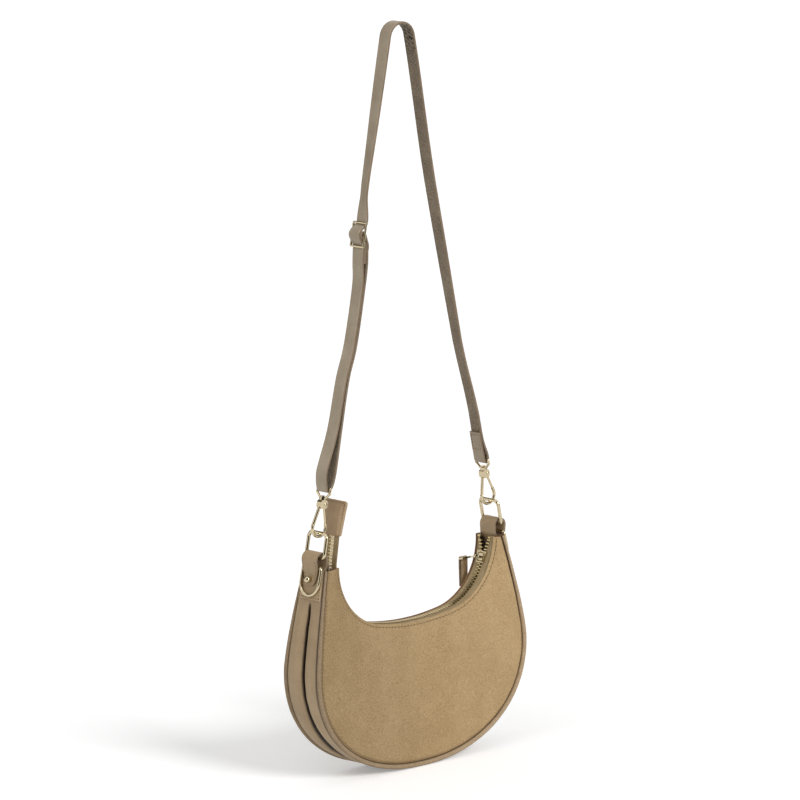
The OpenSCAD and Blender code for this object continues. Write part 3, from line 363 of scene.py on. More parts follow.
def leather_finish(name, dark, light, pebble, depth, roughness, uv=False, specks_and_wrinkle_shade=False):
    dark, light = srgb(*dark), srgb(*light)
    mat, tree, shader = new_finish(name, light, roughness)
    at = coords(tree, uv)
    broad = cloud(tree, at, 40, 3, 0.55)
    grain = cells(tree, at, pebble, smooth=0.35)
    pore = cloud(tree, at, pebble * 2.6, 2, 0.6)
    base = ramp(tree, broad, dark, light, 0.3, 0.7)
    surface_colour = blend_colour(tree, 0.3, base, ramp(tree, grain, light, dark, 0.25, 0.75))
    if specks_and_wrinkle_shade:
        speck = mask(tree, cloud(tree, at, 900, 1), 0.56, 0.64)
        specked = blend_colour(tree, speck, surface_colour, srgb(78, 64, 46))
        # Painted shade: dark lines for wrinkles, where the strap bends sharply at the top.
        surface_colour = painted_wrinkle_shade(tree, specked, srgb(38, 30, 21), -14 * MM, 30 * MM)
    uneven = sums(tree, "MULTIPLY_ADD", broad, 0.18, roughness - 0.09)
    # Painted shade in folds and beside seams, from the sheet's shade attribute.
    put(shader, Base_Color=paint_shade(tree, surface_colour, srgb(34, 24, 17)), Roughness=uneven,
        Specular_IOR_Level=0.4)
    bump(tree, shader, (grain, 0.5, depth), (pore, 0.25, depth * 0.5))
    return mat

taupe = leather_finish("taupe_leather", (150, 127, 96), (174, 151, 118), 1100, 0.16 * MM, 0.5)
strap_face = leather_finish("strap_face", (146, 131, 110), (171, 157, 136), 1000, 0.14 * MM,
                            0.48, uv=True)
strap_flesh = leather_finish("strap_inner", (112, 98, 80), (150, 136, 116), 620, 0.34 * MM,
                             0.72, uv=True, specks_and_wrinkle_shade=True)
trim_leather = leather_finish("trim_leather", (152, 126, 96), (176, 151, 119), 900, 0.14 * MM,
                              0.55)
patch_leather = leather_finish("patch_leather", (158, 135, 101), (182, 159, 125), 900,
                               0.14 * MM, 0.6)
facing_leather = leather_finish("facing_leather", (52, 40, 31), (78, 62, 49), 1000, 0.14 * MM,
                                0.7)
edge_paint = leather_finish("painted_edge", (108, 90, 70), (134, 116, 94), 1600, 0.08 * MM, 0.42)
hide_edge = leather_finish("raw_edge", (92, 64, 40), (128, 96, 64), 2200, 0.1 * MM, 0.85)
print("finishes", taupe.name, strap_face.name, strap_flesh.name, trim_leather.name)

# %% [markdown]
# Zip tape is a tight twill. Two wave patterns on the sheet's own UV map, crossed at a slant,
# draw its ribs at their real half millimetre. The lining is a plain dark cloth made the same
# way, square on.

# %% Woven cloth
def weave_finish(name, dark, light, pitch, slant, roughness):
    dark, light = srgb(*dark), srgb(*light)
    mat, tree, shader = new_finish(name, light, roughness)
    scale = 0.314 / pitch  # bands of scale 1 repeat every 0.314
    height = sums(tree, "MAXIMUM", *(bands(tree, coords(tree, True, turn=turn), scale, 0.6, 1)
                                     for turn in (slant, slant + pi / 2)))
    threads = ramp(tree, height, dark, light, 0.25, 0.9)
    worn = cloud(tree, coords(tree, True), 60, 3)
    colour = blend_colour(tree, 0.3, threads, ramp(tree, worn, dark, light))
    put(shader, Base_Color=colour, Specular_IOR_Level=0.2)
    bump(tree, shader, (height, 0.6, pitch * 0.3))
    return mat

tape_cloth = weave_finish("zip_tape", (130, 111, 80), (178, 157, 121), 0.55 * MM, radians(38),
                          0.85)
lining_cloth = weave_finish("lining", (20, 15, 12), (48, 38, 31), 0.5 * MM, 0.0, 0.9)
print("finishes", tape_cloth.name, lining_cloth.name)

# %% [markdown]
# The hardware is plated in a pale gold. Polished plate is never quite even: a slow noise
# changes its roughness a little, and a faint bump keeps long reflections from looking like
# glass.

# %% Metal and thread
def metal_finish(name, colour, roughness, wave):
    colour = srgb(*colour)
    mat, tree, shader = new_finish(name, colour, roughness, 1.0)
    at = coords(tree)
    slow, fine = cloud(tree, at, 180, 3), cloud(tree, at, 2600, 2)
    put(shader, Base_Color=ramp(tree, slow, tuple(c * 0.9 for c in colour), colour),
        Roughness=sums(tree, "MULTIPLY_ADD", slow, 0.16, roughness))
    bump(tree, shader, (slow, 0.12, wave), (fine, 0.06, 0.05 * MM))
    return mat

gold = metal_finish("pale_gold", (208, 193, 160), 0.08, 0.2 * MM)
steel = metal_finish("spring_wire", (176, 172, 164), 0.25, 0.1 * MM)
tooth_gold = metal_finish("zip_gold", (212, 190, 138), 0.26, 0.15 * MM)

def thread_finish(name, colour):
    colour = srgb(*colour)
    mat, tree, shader = new_finish(name, colour, 0.75)
    twist = cells(tree, coords(tree), 3500)
    dark = tuple(c * 0.7 for c in colour)
    put(shader, Base_Color=ramp(tree, twist, dark, colour, 0.1, 0.7))
    bump(tree, shader, (twist, 0.5, 0.06 * MM))
    return mat

thread = thread_finish("thread", (88, 62, 38))
nap_thread = thread_finish("nap_thread", (150, 124, 86))
pale_thread = thread_finish("pale_thread", (178, 156, 122))
print("finishes", gold.name, steel.name, thread.name)

# %% [markdown]
# ## Finishes on the CAD metal
# Rings, hooks, buckle, studs, teeth and slider keep their CAD shapes, which are exact, and
# only take the plated finish. A CAD node's look is changed by assigning to its slots.

# %% Paint the metal nodes
HOOK_PARTS = ("swivel_eye", "swivel_post", "hook", "gate", "gate_pin", "ring", "d_ring", "stud")
METAL = ["slide_buckle", "zip_slider", "zip_puller"] + [
    name + "_" + part for _, name in ENDS for part in HOOK_PARTS]

def paint(names, mat):
    for name in names:
        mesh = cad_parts[name].data
        mesh.materials.clear()
        mesh.materials.append(mat)

paint(METAL, gold)
paint(["left_gate_spring", "right_gate_spring"], steel)
paint(["front_zip_teeth", "back_zip_teeth", "zip_stops"], tooth_gold)
print("painted", len(METAL) + 5, "metal nodes")

# %% [markdown]
# ## How the leather is made
# Each leather part is a flat grid that is bent into place point by point, as a cutter's
# pattern is, and then given its thickness by Solidify and soft edges by Bevel. Its UV map
# keeps the flat sizes, so the grain lies on it as on the hide. Parts that come in pairs share
# one place function, and partial fills in the side.

# %% A bent sheet
def place_object(name, data):
    made = bpy.data.objects.new(name, data)
    bpy.context.scene.collection.objects.link(made)
    return made

def new_object(name, bm, mats):
    mesh = bpy.data.meshes.new(name)
    bm.to_mesh(mesh)
    bm.free()
    for mat in mats:
        mesh.materials.append(mat)
    return place_object(name, mesh)

def finish_piece(name, bm, mats, body, stands_for=()):
    """A smooth piece that rides on a body, in place of CAD nodes."""
    piece = new_object(name, bm, mats)
    for face in piece.data.polygons:
        face.use_smooth = True
    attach(piece, body)
    if stands_for:
        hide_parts(*stands_for)
    print(name, len(piece.data.polygons), "faces")
    return piece

def running_lengths(count, point_at):
    """How far along a line each of its count + 1 points lies."""
    runs = [0.0]
    for i in range(count):
        step = point_at((i + 1) / count) - point_at(i / count)
        runs.append(runs[-1] + step.length)
    return runs

def bent_grid(along, across, place, flip=False, painted_shade=None):
    """A flat grid from 0 to 1 both ways, bent by place(u, w), with UVs in metres. The last
    argument gives, at each (u, w), how much painted shade the finish gets there."""
    bm = bmesh.new()
    uv = bm.loops.layers.uv.new("UVMap")
    dark = bm.verts.layers.float.new("painted_shade") if painted_shade else None
    bmesh.ops.create_grid(bm, x_segments=along, y_segments=across, size=0.5)
    flat = {}
    for vert in bm.verts:
        u, w = vert.co.x + 0.5, vert.co.y + 0.5
        flat[vert] = (round(u * along), round(w * across))
        vert.co = place(u, w)
        if painted_shade:
            vert[dark] = painted_shade(u, w)
    long = running_lengths(along, lambda u: place(u, 0.5))
    wide = running_lengths(across, lambda w: place(0.5, w))
    for face in bm.faces:
        for loop in face.loops:
            i, j = flat[loop.vert]
            loop[uv].uv = (long[i], wide[j])
    if flip:
        bmesh.ops.reverse_faces(bm, faces=bm.faces)
    return bm

def soften(piece, edge, segments=2):
    soft = piece.modifiers.new("soft_edges", "BEVEL")
    soft.width, soft.segments = edge, segments
    soft.limit_method, soft.angle_limit = "ANGLE", radians(50)

def sheet(name, node, bm, mats, thickness, offset=-1.0, edge=0.35 * MM, rim=1, inner=0,
          body="bag"):
    """A bent grid with a thickness and soft edges, in place of one CAD node."""
    piece = finish_piece(name, bm, mats, body, [node])
    solid = piece.modifiers.new("thickness", "SOLIDIFY")
    solid.thickness, solid.offset = thickness, offset
    solid.use_even_offset = False
    solid.material_offset_rim, solid.material_offset = rim, inner
    if edge:
        soften(piece, edge)

# %% [markdown]
# ## Rivet heads
# Each gate pin is riveted over, so a low domed head shows on both faces of the hook's hub. A
# ball is flattened and half sunk in the hub, at the middle of the CAD pin.

# %% Rivet heads
def middle_of(name):
    at = [vert.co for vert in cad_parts[name].data.vertices]
    return Vector([(min(p[i] for p in at) + max(p[i] for p in at)) / 2 for i in range(3)])

rivet_r, rivet_h, hub_face = 1.6 * MM, 0.6 * MM, 3 * MM
flattened = Matrix.Diagonal((1, rivet_h / rivet_r, 1, 1))
for _, name in ENDS:
    bm = bmesh.new()
    for face_side in (-1, 1):
        at = middle_of(name + "_gate_pin") + Vector((0, face_side * hub_face, 0))
        bmesh.ops.create_uvsphere(bm, u_segments=24, v_segments=12, radius=rivet_r,
                                  matrix=Matrix.Translation(at) @ flattened)
    finish_piece(name + "_rivet_heads", bm, [gold], name + "_hook")

# %% [markdown]
# ## Panels
# The two suede panels are the largest parts. They belly out a little, dip where the needle
# pulled the stitches down, and pucker near both seams. Those small waves are worked into the
# grid itself, so they also catch the light from the side.

# %% Front and back panel
stitch_in, seam_half_l = 2.9 * MM, 310 * MM

def panel_relief(s, v, side):
    size = panel_len(s)
    from_mouth, from_seam = v * size, (1 - v) * size
    along = s * seam_half_l
    pull = 0.22 * MM * ripple(side + 3, along / 0.011) * bell(from_mouth - 4 * MM, 7 * MM)
    pull += 0.5 * MM * ripple(side + 5, along / 0.016) * bell(from_seam - 5 * MM, 11 * MM)
    belly = 1.5 * MM * ripple(side + 9, s * 2.6, v * 2.2) * sin(pi * v) ** 1.5
    groove = -0.3 * MM * bell(from_mouth - stitch_in, 0.9 * MM)
    tuck = -1.5 * MM * bell(from_seam, 2.2 * MM)
    return (pull + belly) * smooth01(size / (30 * MM)) + groove + tuck

def panel_place(side, u, w):
    s = 2 * u - 1
    v = (1 - cos(pi * w)) / 2
    p = panel_at(s, v, side, 0)
    p.y += side * panel_relief(s, v, side)
    return p

# Painted shade: dark beside the seam, and faintly in the stitch groove below the mouth.
def panel_painted_shade(u, w):
    size = panel_len(2 * u - 1)
    v = (1 - cos(pi * w)) / 2
    return (0.85 * bell((1 - v) * size, 0.75 * MM)
            + 0.16 * bell(v * size - stitch_in, 0.5 * MM))

for side, name in SIDES:
    sheet(name + "_suede", name + "_panel",
          bent_grid(280, 72, partial(panel_place, side), flip=side < 0, painted_shade=panel_painted_shade),
          [suede, hide_edge, taupe], panel_t, edge=0.45 * MM, inner=2)

# %% [markdown]
# ## Gusset
# The gusset joins the panels. It folds inwards along its middle, deep at the sides and the
# bottom and flat under the end patches, so the bag can open and lie flat. Its section is a
# soft V that rises to the seams, and its edges run a little way under the welts.

# %% Gusset
def across_gusset(w):
    """From -1 to 1, with the grid's lines closer together at the fold and the seams."""
    x = 2 * w - 1
    return x - 0.11 * sin(2 * pi * x)

def gusset_place(u, w):
    s, q = 2 * u - 1, across_gusset(w)
    fold, soft = fold_at(s), smooth01((0.93 - abs(s)) / 0.15)
    n = gusset_t / 2 - fold * (0.88 * bell(q, fold_width(s)) + 0.12 * bell(q, 0.35))
    n += 1.3 * MM * sin(pi * min(1.0, abs(q) * 1.06)) ** 2 * soft
    n += 0.35 * MM * ripple(21, s * 26, q * 1.6) * (1 - q ** 6)
    n += 0.5 * MM * bell(abs(q) - 0.86, 0.09) - 0.8 * MM * bell(abs(q) - 1, 0.05)
    under_welt = welt_r * (1 - welt_size(s)) + 0.5 * MM
    return rim_at(s, n, q * (gusset_half(s) + under_welt))

# Painted shade: dark down the deep fold and along both edges, where they run under the welts.
def gusset_painted_shade(u, w):
    s, q = 2 * u - 1, across_gusset(w)
    deep = fold_at(s) * bell(q, fold_width(s))
    return min(1.0, 0.97 * smooth01((deep - 0.3 * MM) / (1.5 * MM))
               + 0.9 * bell(abs(q) - 0.96, 0.05))

sheet("gusset_leather", "gusset",
      bent_grid(300, 84, gusset_place, flip=True, painted_shade=gusset_painted_shade),
      [taupe, hide_edge], gusset_t)

# %% [markdown]
# ## Welts
# A welt is a strip of leather folded round a cord and caught in the seam. It is a tube that
# thins to the horns. The grid is rolled up, its meeting edges are merged and its ends filled.

# %% Welts
def rolled_tube(along, around, place):
    bm = bent_grid(along, around, place)
    bmesh.ops.remove_doubles(bm, verts=bm.verts, dist=0.001 * MM)
    bmesh.ops.holes_fill(bm, edges=[e for e in bm.edges if e.is_boundary], sides=0)
    bmesh.ops.recalc_face_normals(bm, faces=bm.faces)
    return bm

def welt_place(side, u, w):
    s, a = 2 * u - 1, 2 * pi * (w % 1.0)
    r = welt_r * welt_size(s) * (0.97 + 0.05 * ripple(31 + side, s * 40, cos(a)))
    return rim_at(s, r * cos(a) * 1.04, side * rim_half_d(s) + r * sin(a))

for side, name in SIDES:
    finish_piece(name + "_welt_leather", rolled_tube(360, 20, partial(welt_place, side)),
                 [welt_hide], "bag", [name + "_welt"])

# %% [markdown]
# ## Stitches
# A seam is a row of short stitches. One stitch is a small stretched ball of a few dozen faces,
# laid along the seam with a slight slant, as a sewing machine leaves it.

# %% A row of stitches
def walk(route, pitch, start):
    """Middle points and directions of stitches spaced evenly along a list of points."""
    out, left = [], pitch * start
    for a, b in zip(route, route[1:]):
        run = (b - a).length
        while left <= run:
            out.append((a.lerp(b, left / run), (b - a).normalized()))
            left += pitch
        left -= run
    return out

def stitch_row(name, rows, length, radius, mat=None, pitch=None, slant=0.12, start=0.5,
               body="bag"):
    """rows is a list of (points, way out of the leather). Start is how far along its pitch
    the first stitch lies."""
    bm = bmesh.new()
    for route, outward in rows:
        for at, way in walk(route, pitch or length * 1.35, start):
            out = outward.normalized()
            across = out.cross(way).normalized()
            way = (way + slant * across).normalized()
            across = out.cross(way).normalized()
            turn = Matrix((way * length / 2, across * radius, out * radius)).transposed().to_4x4()
            bmesh.ops.create_uvsphere(bm, u_segments=8, v_segments=5, radius=1,
                                      matrix=Matrix.Translation(at) @ turn
                                      @ Matrix.Rotation(pi / 2, 4, "Y"))
    bmesh.ops.recalc_face_normals(bm, faces=bm.faces)
    finish_piece(name, bm, [mat or thread], body)

# %% [markdown]
# The panels carry a row of top stitches just below the mouth, which holds the zip tape. It is
# as pale as the nap, and a small dark blob between each two stitches is painted shade for the
# needle hole. A row of small dark stitches runs beside each welt.

# %% Panel stitches
def panel_row(side, inset, from_seam=False, reach=0.985):
    points, lift = [], 0.06 * MM
    for f in shares(240):
        s = mix(-reach, reach, f)
        size = panel_len(s)
        v = 1 - inset / size if from_seam else inset / size
        p = panel_at(s, v, side, 0)
        p.y += side * (panel_relief(s, v, side) + lift)
        points.append(p)
    return points

for side, name in SIDES:
    out = Vector((0, side, 0))
    mouth_row = [(panel_row(side, stitch_in), out)]
    stitch_row(name + "_mouth_stitches", mouth_row, 2.9 * MM, 0.3 * MM, nap_thread,
               pitch=4 * MM)
    # Painted shade: small dark blobs of thread stand for the needle holes between the stitches.
    stitch_row(name + "_needle_hole_shade", mouth_row, 1.2 * MM, 0.5 * MM, pitch=4 * MM,
               slant=0, start=1.0)
    stitch_row(name + "_seam_stitches", [(panel_row(side, 2 * MM, True, 0.9), out)], 1.2 * MM,
               0.26 * MM, pitch=3.6 * MM, slant=0)

# %% [markdown]
# ## Zip
# The zip's path is the mouth's, then a short bend, then the upright tail at the left. A
# length l along the path is measured from the left end of the arc. The tapes part at the
# slider and spread to the right horn, and their outer hems turn down inside the panels.

# %% The zip's path
tooth_h, tape_t, slider_l = 2.4 * MM, 0.8 * MM, 11 * MM
tail_h, end_tab_h, end_tab_w = 61 * MM, 33 * MM, 30 * MM
zip_left, slider_angle, tail_lean = radians(84), radians(71), radians(9)
zip_bend_r, tooth_reach, post_part, tail_half = 40 * MM, 3.2 * MM, 1.5 * MM, 8 * MM
zip_sink = (tooth_h - tape_t) / 2
zip_start = mouth_run(-zip_left, zip_sink)
tail_bend = pi / 2 + tail_lean - zip_left
bend_at = mouth_point(-zip_left, zip_sink - zip_bend_r)
tail_turn = pi / 2 + tail_lean
tail_at = bend_at - zip_bend_r * up_at(-tail_turn)
tail_l = (tail_h - tail_at.z) / cos(tail_lean)
bend_l = zip_bend_r * tail_bend
arc_l = mouth_run(pi / 2, zip_sink) - zip_start
slider_at = mouth_run(slider_angle, zip_sink) - zip_start
horn_part = (horn_gap - panel_t) / 2 - tooth_reach - 2 * seat_gap - tape_t
tape_in, tape_hem = tooth_reach - 3.5 * seat_gap, 5 * MM
tail_end = -tail_l - bend_l + end_tab_h * 0.2

def zip_turn(l):
    if l >= 0:
        return run_turn(l + zip_start, zip_sink)
    return max(l / zip_bend_r - zip_left, -tail_turn)

def zip_xz(l):
    a = zip_turn(l)
    if l >= 0:
        return mouth_point(a, zip_sink)
    if l >= -bend_l:
        return bend_at - zip_bend_r * up_at(a)
    return tail_at + (-l - bend_l) * up_at(-tail_lean)

def zip_point(l, y, up):
    return in_frame(zip_xz(l) + up * up_at(zip_turn(l)), y)

def zip_part(l):
    if l < slider_at:
        return 0.0
    past = l - slider_at - slider_l / 2
    if past < 0:
        return post_part * (l - slider_at) * 2 / slider_l
    return mix(post_part, horn_part, smooth01(past / (arc_l - slider_at - slider_l / 2)))

print("zip length", round(arc_l + bend_l + tail_l, 3))

# %% Zip tapes
def tape_out(l):
    here = mouth_half(mouth_s(max(zip_turn(l), -zip_left))) - panel_t / 2 - seat_gap - tape_t
    return here if l > 0 else mix(here, tail_half, smooth01(-l / bend_l))

def hem_at(l):
    fade = max(0.0, min(1.0, (arc_l - l) / tape_hem + 0.3))
    return tape_hem * smooth01(1 + 3 * l / bend_l) * fade

def hem_out(l):
    if l <= 0:
        return 0.0
    s = mouth_s(zip_turn(l))
    deep = (zip_sink + tape_t / 2 + hem_at(l)) / panel_len(s)
    return panel_y(s, deep) - mouth_half(s) - seat_gap / 2

def tape_place(side, u, w):
    """Flat from the teeth outwards for three fifths, then down as the hem."""
    flat_share = 0.6
    l = mix(tail_end, arc_l, u)
    o = tape_out(l) + tape_t / 2
    if w < flat_share:
        y = mix(tape_in + zip_part(l), o, w / flat_share)
        return zip_point(l, side * y, 0.08 * MM * ripple(40 + side, l / 0.02, w))
    down = (w - flat_share) / (1 - flat_share)
    return zip_point(l, side * (o + hem_out(l) * down), -max(hem_at(l), 0.1 * MM) * down)

for side, name in SIDES:
    sheet(name + "_tape", name + "_zip_tape",
          bent_grid(260, 20, partial(tape_place, side), flip=side < 0),
          [tape_cloth, tape_cloth], tape_t, offset=0.0, edge=0.15 * MM)
    tail_row = [zip_point(mix(tail_end + 30 * MM, -bend_l, f), side * (tail_half - 1.2 * MM),
                          tape_t * 0.55) for f in shares(30)]
    stitch_row(name + "_tape_stitches", [(tail_row, xz(-1, 0))], 2.2 * MM, 0.2 * MM,
               pale_thread)

# %% [markdown]
# ## Lining, facings and pocket
# Inside, a leather facing runs behind each side of the zip, and below it a dark lining goes
# down the front, across the bottom and up the back. A slip pocket is sewn on its back.

# %% Inside of the bag
facing_h, facing_t, plate_room = 16 * MM, 1 * MM, 2.8 * MM
lining_skin, lining_reach, sewn_at = panel_t + free_gap + 0.9 * MM, 0.86, 0.9
pocket_reach, pocket_top = 0.344, 0.39

def facing_v(s):
    return min(facing_h / panel_len(s), 0.7)

def facing_place(side, u, w):
    skin = panel_t + tape_t + 4 * seat_gap
    s = 2 * u - 1
    top = min(0.45, (zip_sink + plate_room + free_gap) / panel_len(s))
    return panel_at(s, mix(top, facing_v(s), w), side, skin)

for side, name in SIDES:
    sheet(name + "_facing_leather", name + "_facing",
          bent_grid(200, 6, partial(facing_place, side), flip=side < 0),
          [facing_leather, edge_paint], facing_t, edge=0.2 * MM)

def lining_place(u, w):
    """Down the front for the first two fifths, across the base, and up the back."""
    s = (2 * u - 1) * lining_reach
    if w < 0.4 or w > 0.6:
        side = -1 if w < 0.4 else 1
        t = w / 0.4 if side < 0 else (1 - w) / 0.4
        p = panel_at(s, mix(facing_v(s) + 0.01, sewn_at, t), side, lining_skin)
        p.y += side * min(0.0, 1.2 * MM * ripple(60 + side, s * 5, t * 3)) * sin(pi * t)
        return p
    q = (w - 0.5) / 0.1
    n = -gusset_t / 2 - free_gap - welt_r - fold_at(s) * mix(1.1, 0.35, abs(q) ** 1.5)
    return rim_at(s, n, q * 0.8 * (gusset_half(s) - welt_r))

sheet("lining_cloth", "lining", bent_grid(160, 60, lining_place, flip=True),
      [lining_cloth, lining_cloth], lining_t * 0.6, edge=0)

def pocket_place(u, w):
    s, v = (2 * u - 1) * pocket_reach, mix(pocket_top, sewn_at, w)
    sag = 1.6 * MM * bell(w, 0.5) * (1 - (2 * u - 1) ** 2)
    return panel_at(s, v, 1, lining_skin + lining_t + 1.1 * MM + sag)

sheet("pocket_cloth", "inner_pocket", bent_grid(48, 16, pocket_place, flip=True),
      [lining_cloth, lining_cloth], lining_t * 0.6, edge=0.15 * MM)

# %% [markdown]
# ## End patches and tabs
# At each end a leather patch covers the top of the gusset. A tab runs up its outside, over
# both rings, and down inside, where a ball stud holds it through all the layers.

# %% Places on the ends
patch_t, patch_h, patch_dent_h = 1.4 * MM, 28 * MM, 16.5 * MM
tab_w, tab_t, tab_loop_up, tab_loop_r = 20 * MM, 1.8 * MM, 9.5 * MM, 6.4 * MM
stud_down, tab_tail, stud_head_d = 10 * MM, 15 * MM, 6 * MM
loop_x = horn_half + 0.5 * MM
out_n = gusset_t / 2 + patch_t + 2 * seat_gap + tab_t / 2
in_n = gusset_t / 2 + seat_gap + tab_t / 2

def s_at(h):
    return 1 - (1 - lower_share) * h / wide_drop

def side_xz(h, n):
    return rim(s_at(h)) + n * rim_out(s_at(h))

def polyline(points, step, passes=6):
    """The same route with even, short steps and soft corners."""
    out = [points[0].copy()]
    for a, b in zip(points, points[1:]):
        count = max(1, round((b - a).length / step))
        out += [a.lerp(b, (i + 1) / count) for i in range(count)]
    for _ in range(passes):
        inner = [(a + 2 * b + c) / 4 for a, b, c in zip(out, out[1:], out[2:])]
        out = [out[0]] + inner + [out[-1]]
    return out

def on_route(route, u):
    f = u * (len(route) - 1)
    i = min(int(f), len(route) - 2)
    return route[i].lerp(route[i + 1], f - i)

# %% End patches
def patch_place(side, u, w):
    h, q = mix(0.3 * MM, patch_h, u), 2 * w - 1
    n = gusset_t / 2 + seat_gap + patch_t + 0.15 * MM * ripple(70, h / 0.008, q)
    n -= 0.5 * MM * bell(1 - abs(q), 0.06)
    n -= 0.35 * MM * bell(h - patch_dent_h, 0.8 * MM)
    return rim_at(side * s_at(h), n, q * gusset_half(s_at(h)))

patch_face = gusset_t / 2 + seat_gap + patch_t + 0.05 * MM

def inside_edge(h):
    return gusset_half(s_at(h)) - 2 * MM

def patch_line(side, edge_side, h_from, h_to):
    heights = [mix(h_from, h_to, f) for f in shares(24)]
    return [rim_at(side * s_at(h), patch_face, edge_side * inside_edge(h)) for h in heights]

for side, name in ENDS:
    sheet(name + "_patch_leather", name + "_end_patch",
          bent_grid(40, 30, partial(patch_place, side), flip=side < 0),
          [patch_leather, edge_paint], patch_t)
    foot_h, out = patch_h - 2.2 * MM, xz(side, -0.2)
    foot = [rim_at(side * s_at(foot_h), patch_face, mix(-1, 1, f) * inside_edge(patch_h))
            for f in shares(20)]
    stitch_row(name + "_patch_stitches",
               [(patch_line(side, edge_side, 2 * MM, foot_h), out) for edge_side in (-1, 1)]
               + [(foot, out)], 2.1 * MM, 0.24 * MM)

# %% Tabs
def tab_route():
    """Up the outside, with a little more room for the D ring, over the rings, and down inside."""
    bend, room, loop = stud_down - stud_head_d / 2 - tab_t / 2, 0.45 * MM, []
    for f in shares(16):
        a = mix(radians(-15), pi, f)
        loop.append(xz(loop_x + (tab_loop_r + room * (1 - f)) * cos(a),
                       tab_loop_up + tab_loop_r * sin(a)))
    return polyline([side_xz(tab_tail, out_n), side_xz(bend, out_n + room)] + loop
                    + [xz(loop_x - tab_loop_r + tab_t / 4, tab_t), side_xz(bend, -in_n),
                       side_xz(tab_tail, -in_n)], 0.8 * MM, 3)

tab_line = tab_route()

def tab_half(z):
    """Half the tab's width: full over the rings, tapering to a round end below."""
    wide, slim = tab_w / 2, tab_w / 2 * 0.6
    if z >= 0:
        return wide
    end = (z + tab_tail + 0.4 * MM) / slim
    return mix(wide, slim, -z / tab_tail) * sqrt(max(0.05, 1 - max(0.0, 1 - end) ** 2))

def tab_place(side, u, w):
    p = on_route(tab_line, u)
    return in_frame(xz(side * p.x, p.z), (2 * w - 1) * tab_half(p.z))

for side, name in ENDS:
    sheet(name + "_tab_leather", name + "_tab",
          bent_grid(120, 16, partial(tab_place, side), flip=side > 0),
          [taupe, edge_paint], tab_t, offset=0.0, edge=0.45 * MM)
    rows = []
    for edge_side in (-1, 1):
        row = []
        for i in range(6, 40):
            p = on_route(tab_line, i / 119)
            d = on_route(tab_line, (i + 1) / 119) - p
            out = xz(d.z, -d.x).normalized()
            if out.x < 0 and p.z < tab_loop_up:
                out = -out
            at = p + out * (tab_t / 2 + 0.03 * MM)
            row.append(in_frame(xz(side * at.x, at.z), edge_side * (tab_half(p.z) - 1.6 * MM)))
        rows.append((row, xz(side, 0.1)))
    stitch_row(name + "_tab_stitches", rows, 2.1 * MM, 0.22 * MM)

# %% [markdown]
# ## Leather end of the zip's tail
# Two pieces of leather are sewn together over the end of the tapes. It is wide at its top and
# narrow where the zip goes in, flat at its stitched edges and fuller round the teeth. One face
# is a grid cut to that outline, the other is its mirror, and bridging the rims joins them.

# %% Zip end
end_top, end_base, end_corner_r = end_tab_w / 2, end_tab_w * 0.68 / 2, 3 * MM
end_from = -bend_l - tail_l

def end_tab_face(bm, face_side):
    for vert in bmesh.ops.create_grid(bm, x_segments=36, y_segments=30, size=0.5)["verts"]:
        a, q = (vert.co.x + 0.5) * end_tab_h, 2 * vert.co.y
        half = mix(end_top, end_base, a / end_tab_h)
        near = min(a, end_tab_h - a)
        round_r = end_corner_r if a < end_tab_h / 2 else end_corner_r / 2
        if near < round_r:
            half -= round_r - sqrt(max(0.0, round_r ** 2 - (round_r - near) ** 2))
        full = smooth01((1 - abs(q)) * 2.4) * smooth01(a / (9 * MM))
        thick = mix(1.25 * MM, 2.75 * MM, full) + 0.12 * MM * ripple(80, a / 0.008, q * 2)
        thick -= 0.25 * MM * bell((1 - abs(q)) * half - 2 * MM, 0.8 * MM)
        vert.co = zip_point(end_from + a, q * half, face_side * thick)

end_bm = bmesh.new()
end_bm.loops.layers.uv.new("UVMap")
for face_side in (-1, 1):
    end_tab_face(end_bm, face_side)
bmesh.ops.bridge_loops(end_bm, edges=[e for e in end_bm.edges if e.is_boundary])
bmesh.ops.recalc_face_normals(end_bm, faces=end_bm.faces)
end_tab = finish_piece("zip_end_leather", end_bm, [trim_leather], "bag",
                       ["zip_end_tab"])
soften(end_tab, 0.45 * MM, 3)

def end_row(face_side):
    inset, lift, low = 2 * MM, 1.32 * MM, end_tab_h - 1.5 * MM
    base, top = end_base - inset, end_top - inset
    ring, points = [(low, -base), (inset, -top), (inset, top), (low, base)], []
    for (a0, q0), (a1, q1) in zip(ring, ring[1:]):
        points += [zip_point(end_from + mix(a0, a1, f), mix(q0, q1, f), face_side * lift)
                   for f in shares(20)]
    way = zip_point(-tail_l, 0, 1) - zip_point(-tail_l, 0, 0)
    return points, way * face_side

stitch_row("zip_end_stitches", [end_row(-1), end_row(1)], 2.2 * MM, 0.26 * MM)

# %% [markdown]
# ## Leather pull
# A short strip goes through the puller's frame, is folded over its far bar, and hangs behind
# the bag. It moves with its own body.

# %% Pull
pull_l, pull_w, pull_t, puller_bar = 27 * MM, 8 * MM, 1.1 * MM, 1.6 * MM
puller_l, puller_drop, bridge_up = 21 * MM, radians(14), 6.6 * MM
bridge = zip_xz(slider_at) + bridge_up * up_at(slider_angle)
pull_bar = bridge + puller_l * Vector((0, cos(puller_drop), -sin(puller_drop)))
pull_r = puller_bar / 2 + seat_gap + pull_t / 2

def pull_route():
    """Up one side of the bar, round it, and down the other, with the ends closer together."""
    half = [(cos(pi * i / 12) * pull_r, sin(pi * i / 12) * pull_r)
            for i in range(13)]
    half = [(0.7 * pull_r, -pull_l), (pull_r, -pull_l * 0.3)] + half
    half += [(-pull_r, -pull_l * 0.3), (-0.7 * pull_r, -pull_l)]
    return polyline([Vector((0, y, z)) for y, z in half], 0.6 * MM, 2)

pull_line = pull_route()

def pull_place(u, w):
    p = on_route(pull_line, u) + pull_bar
    return in_frame(p + xz((2 * w - 1) * pull_w / 2, 0), p.y)

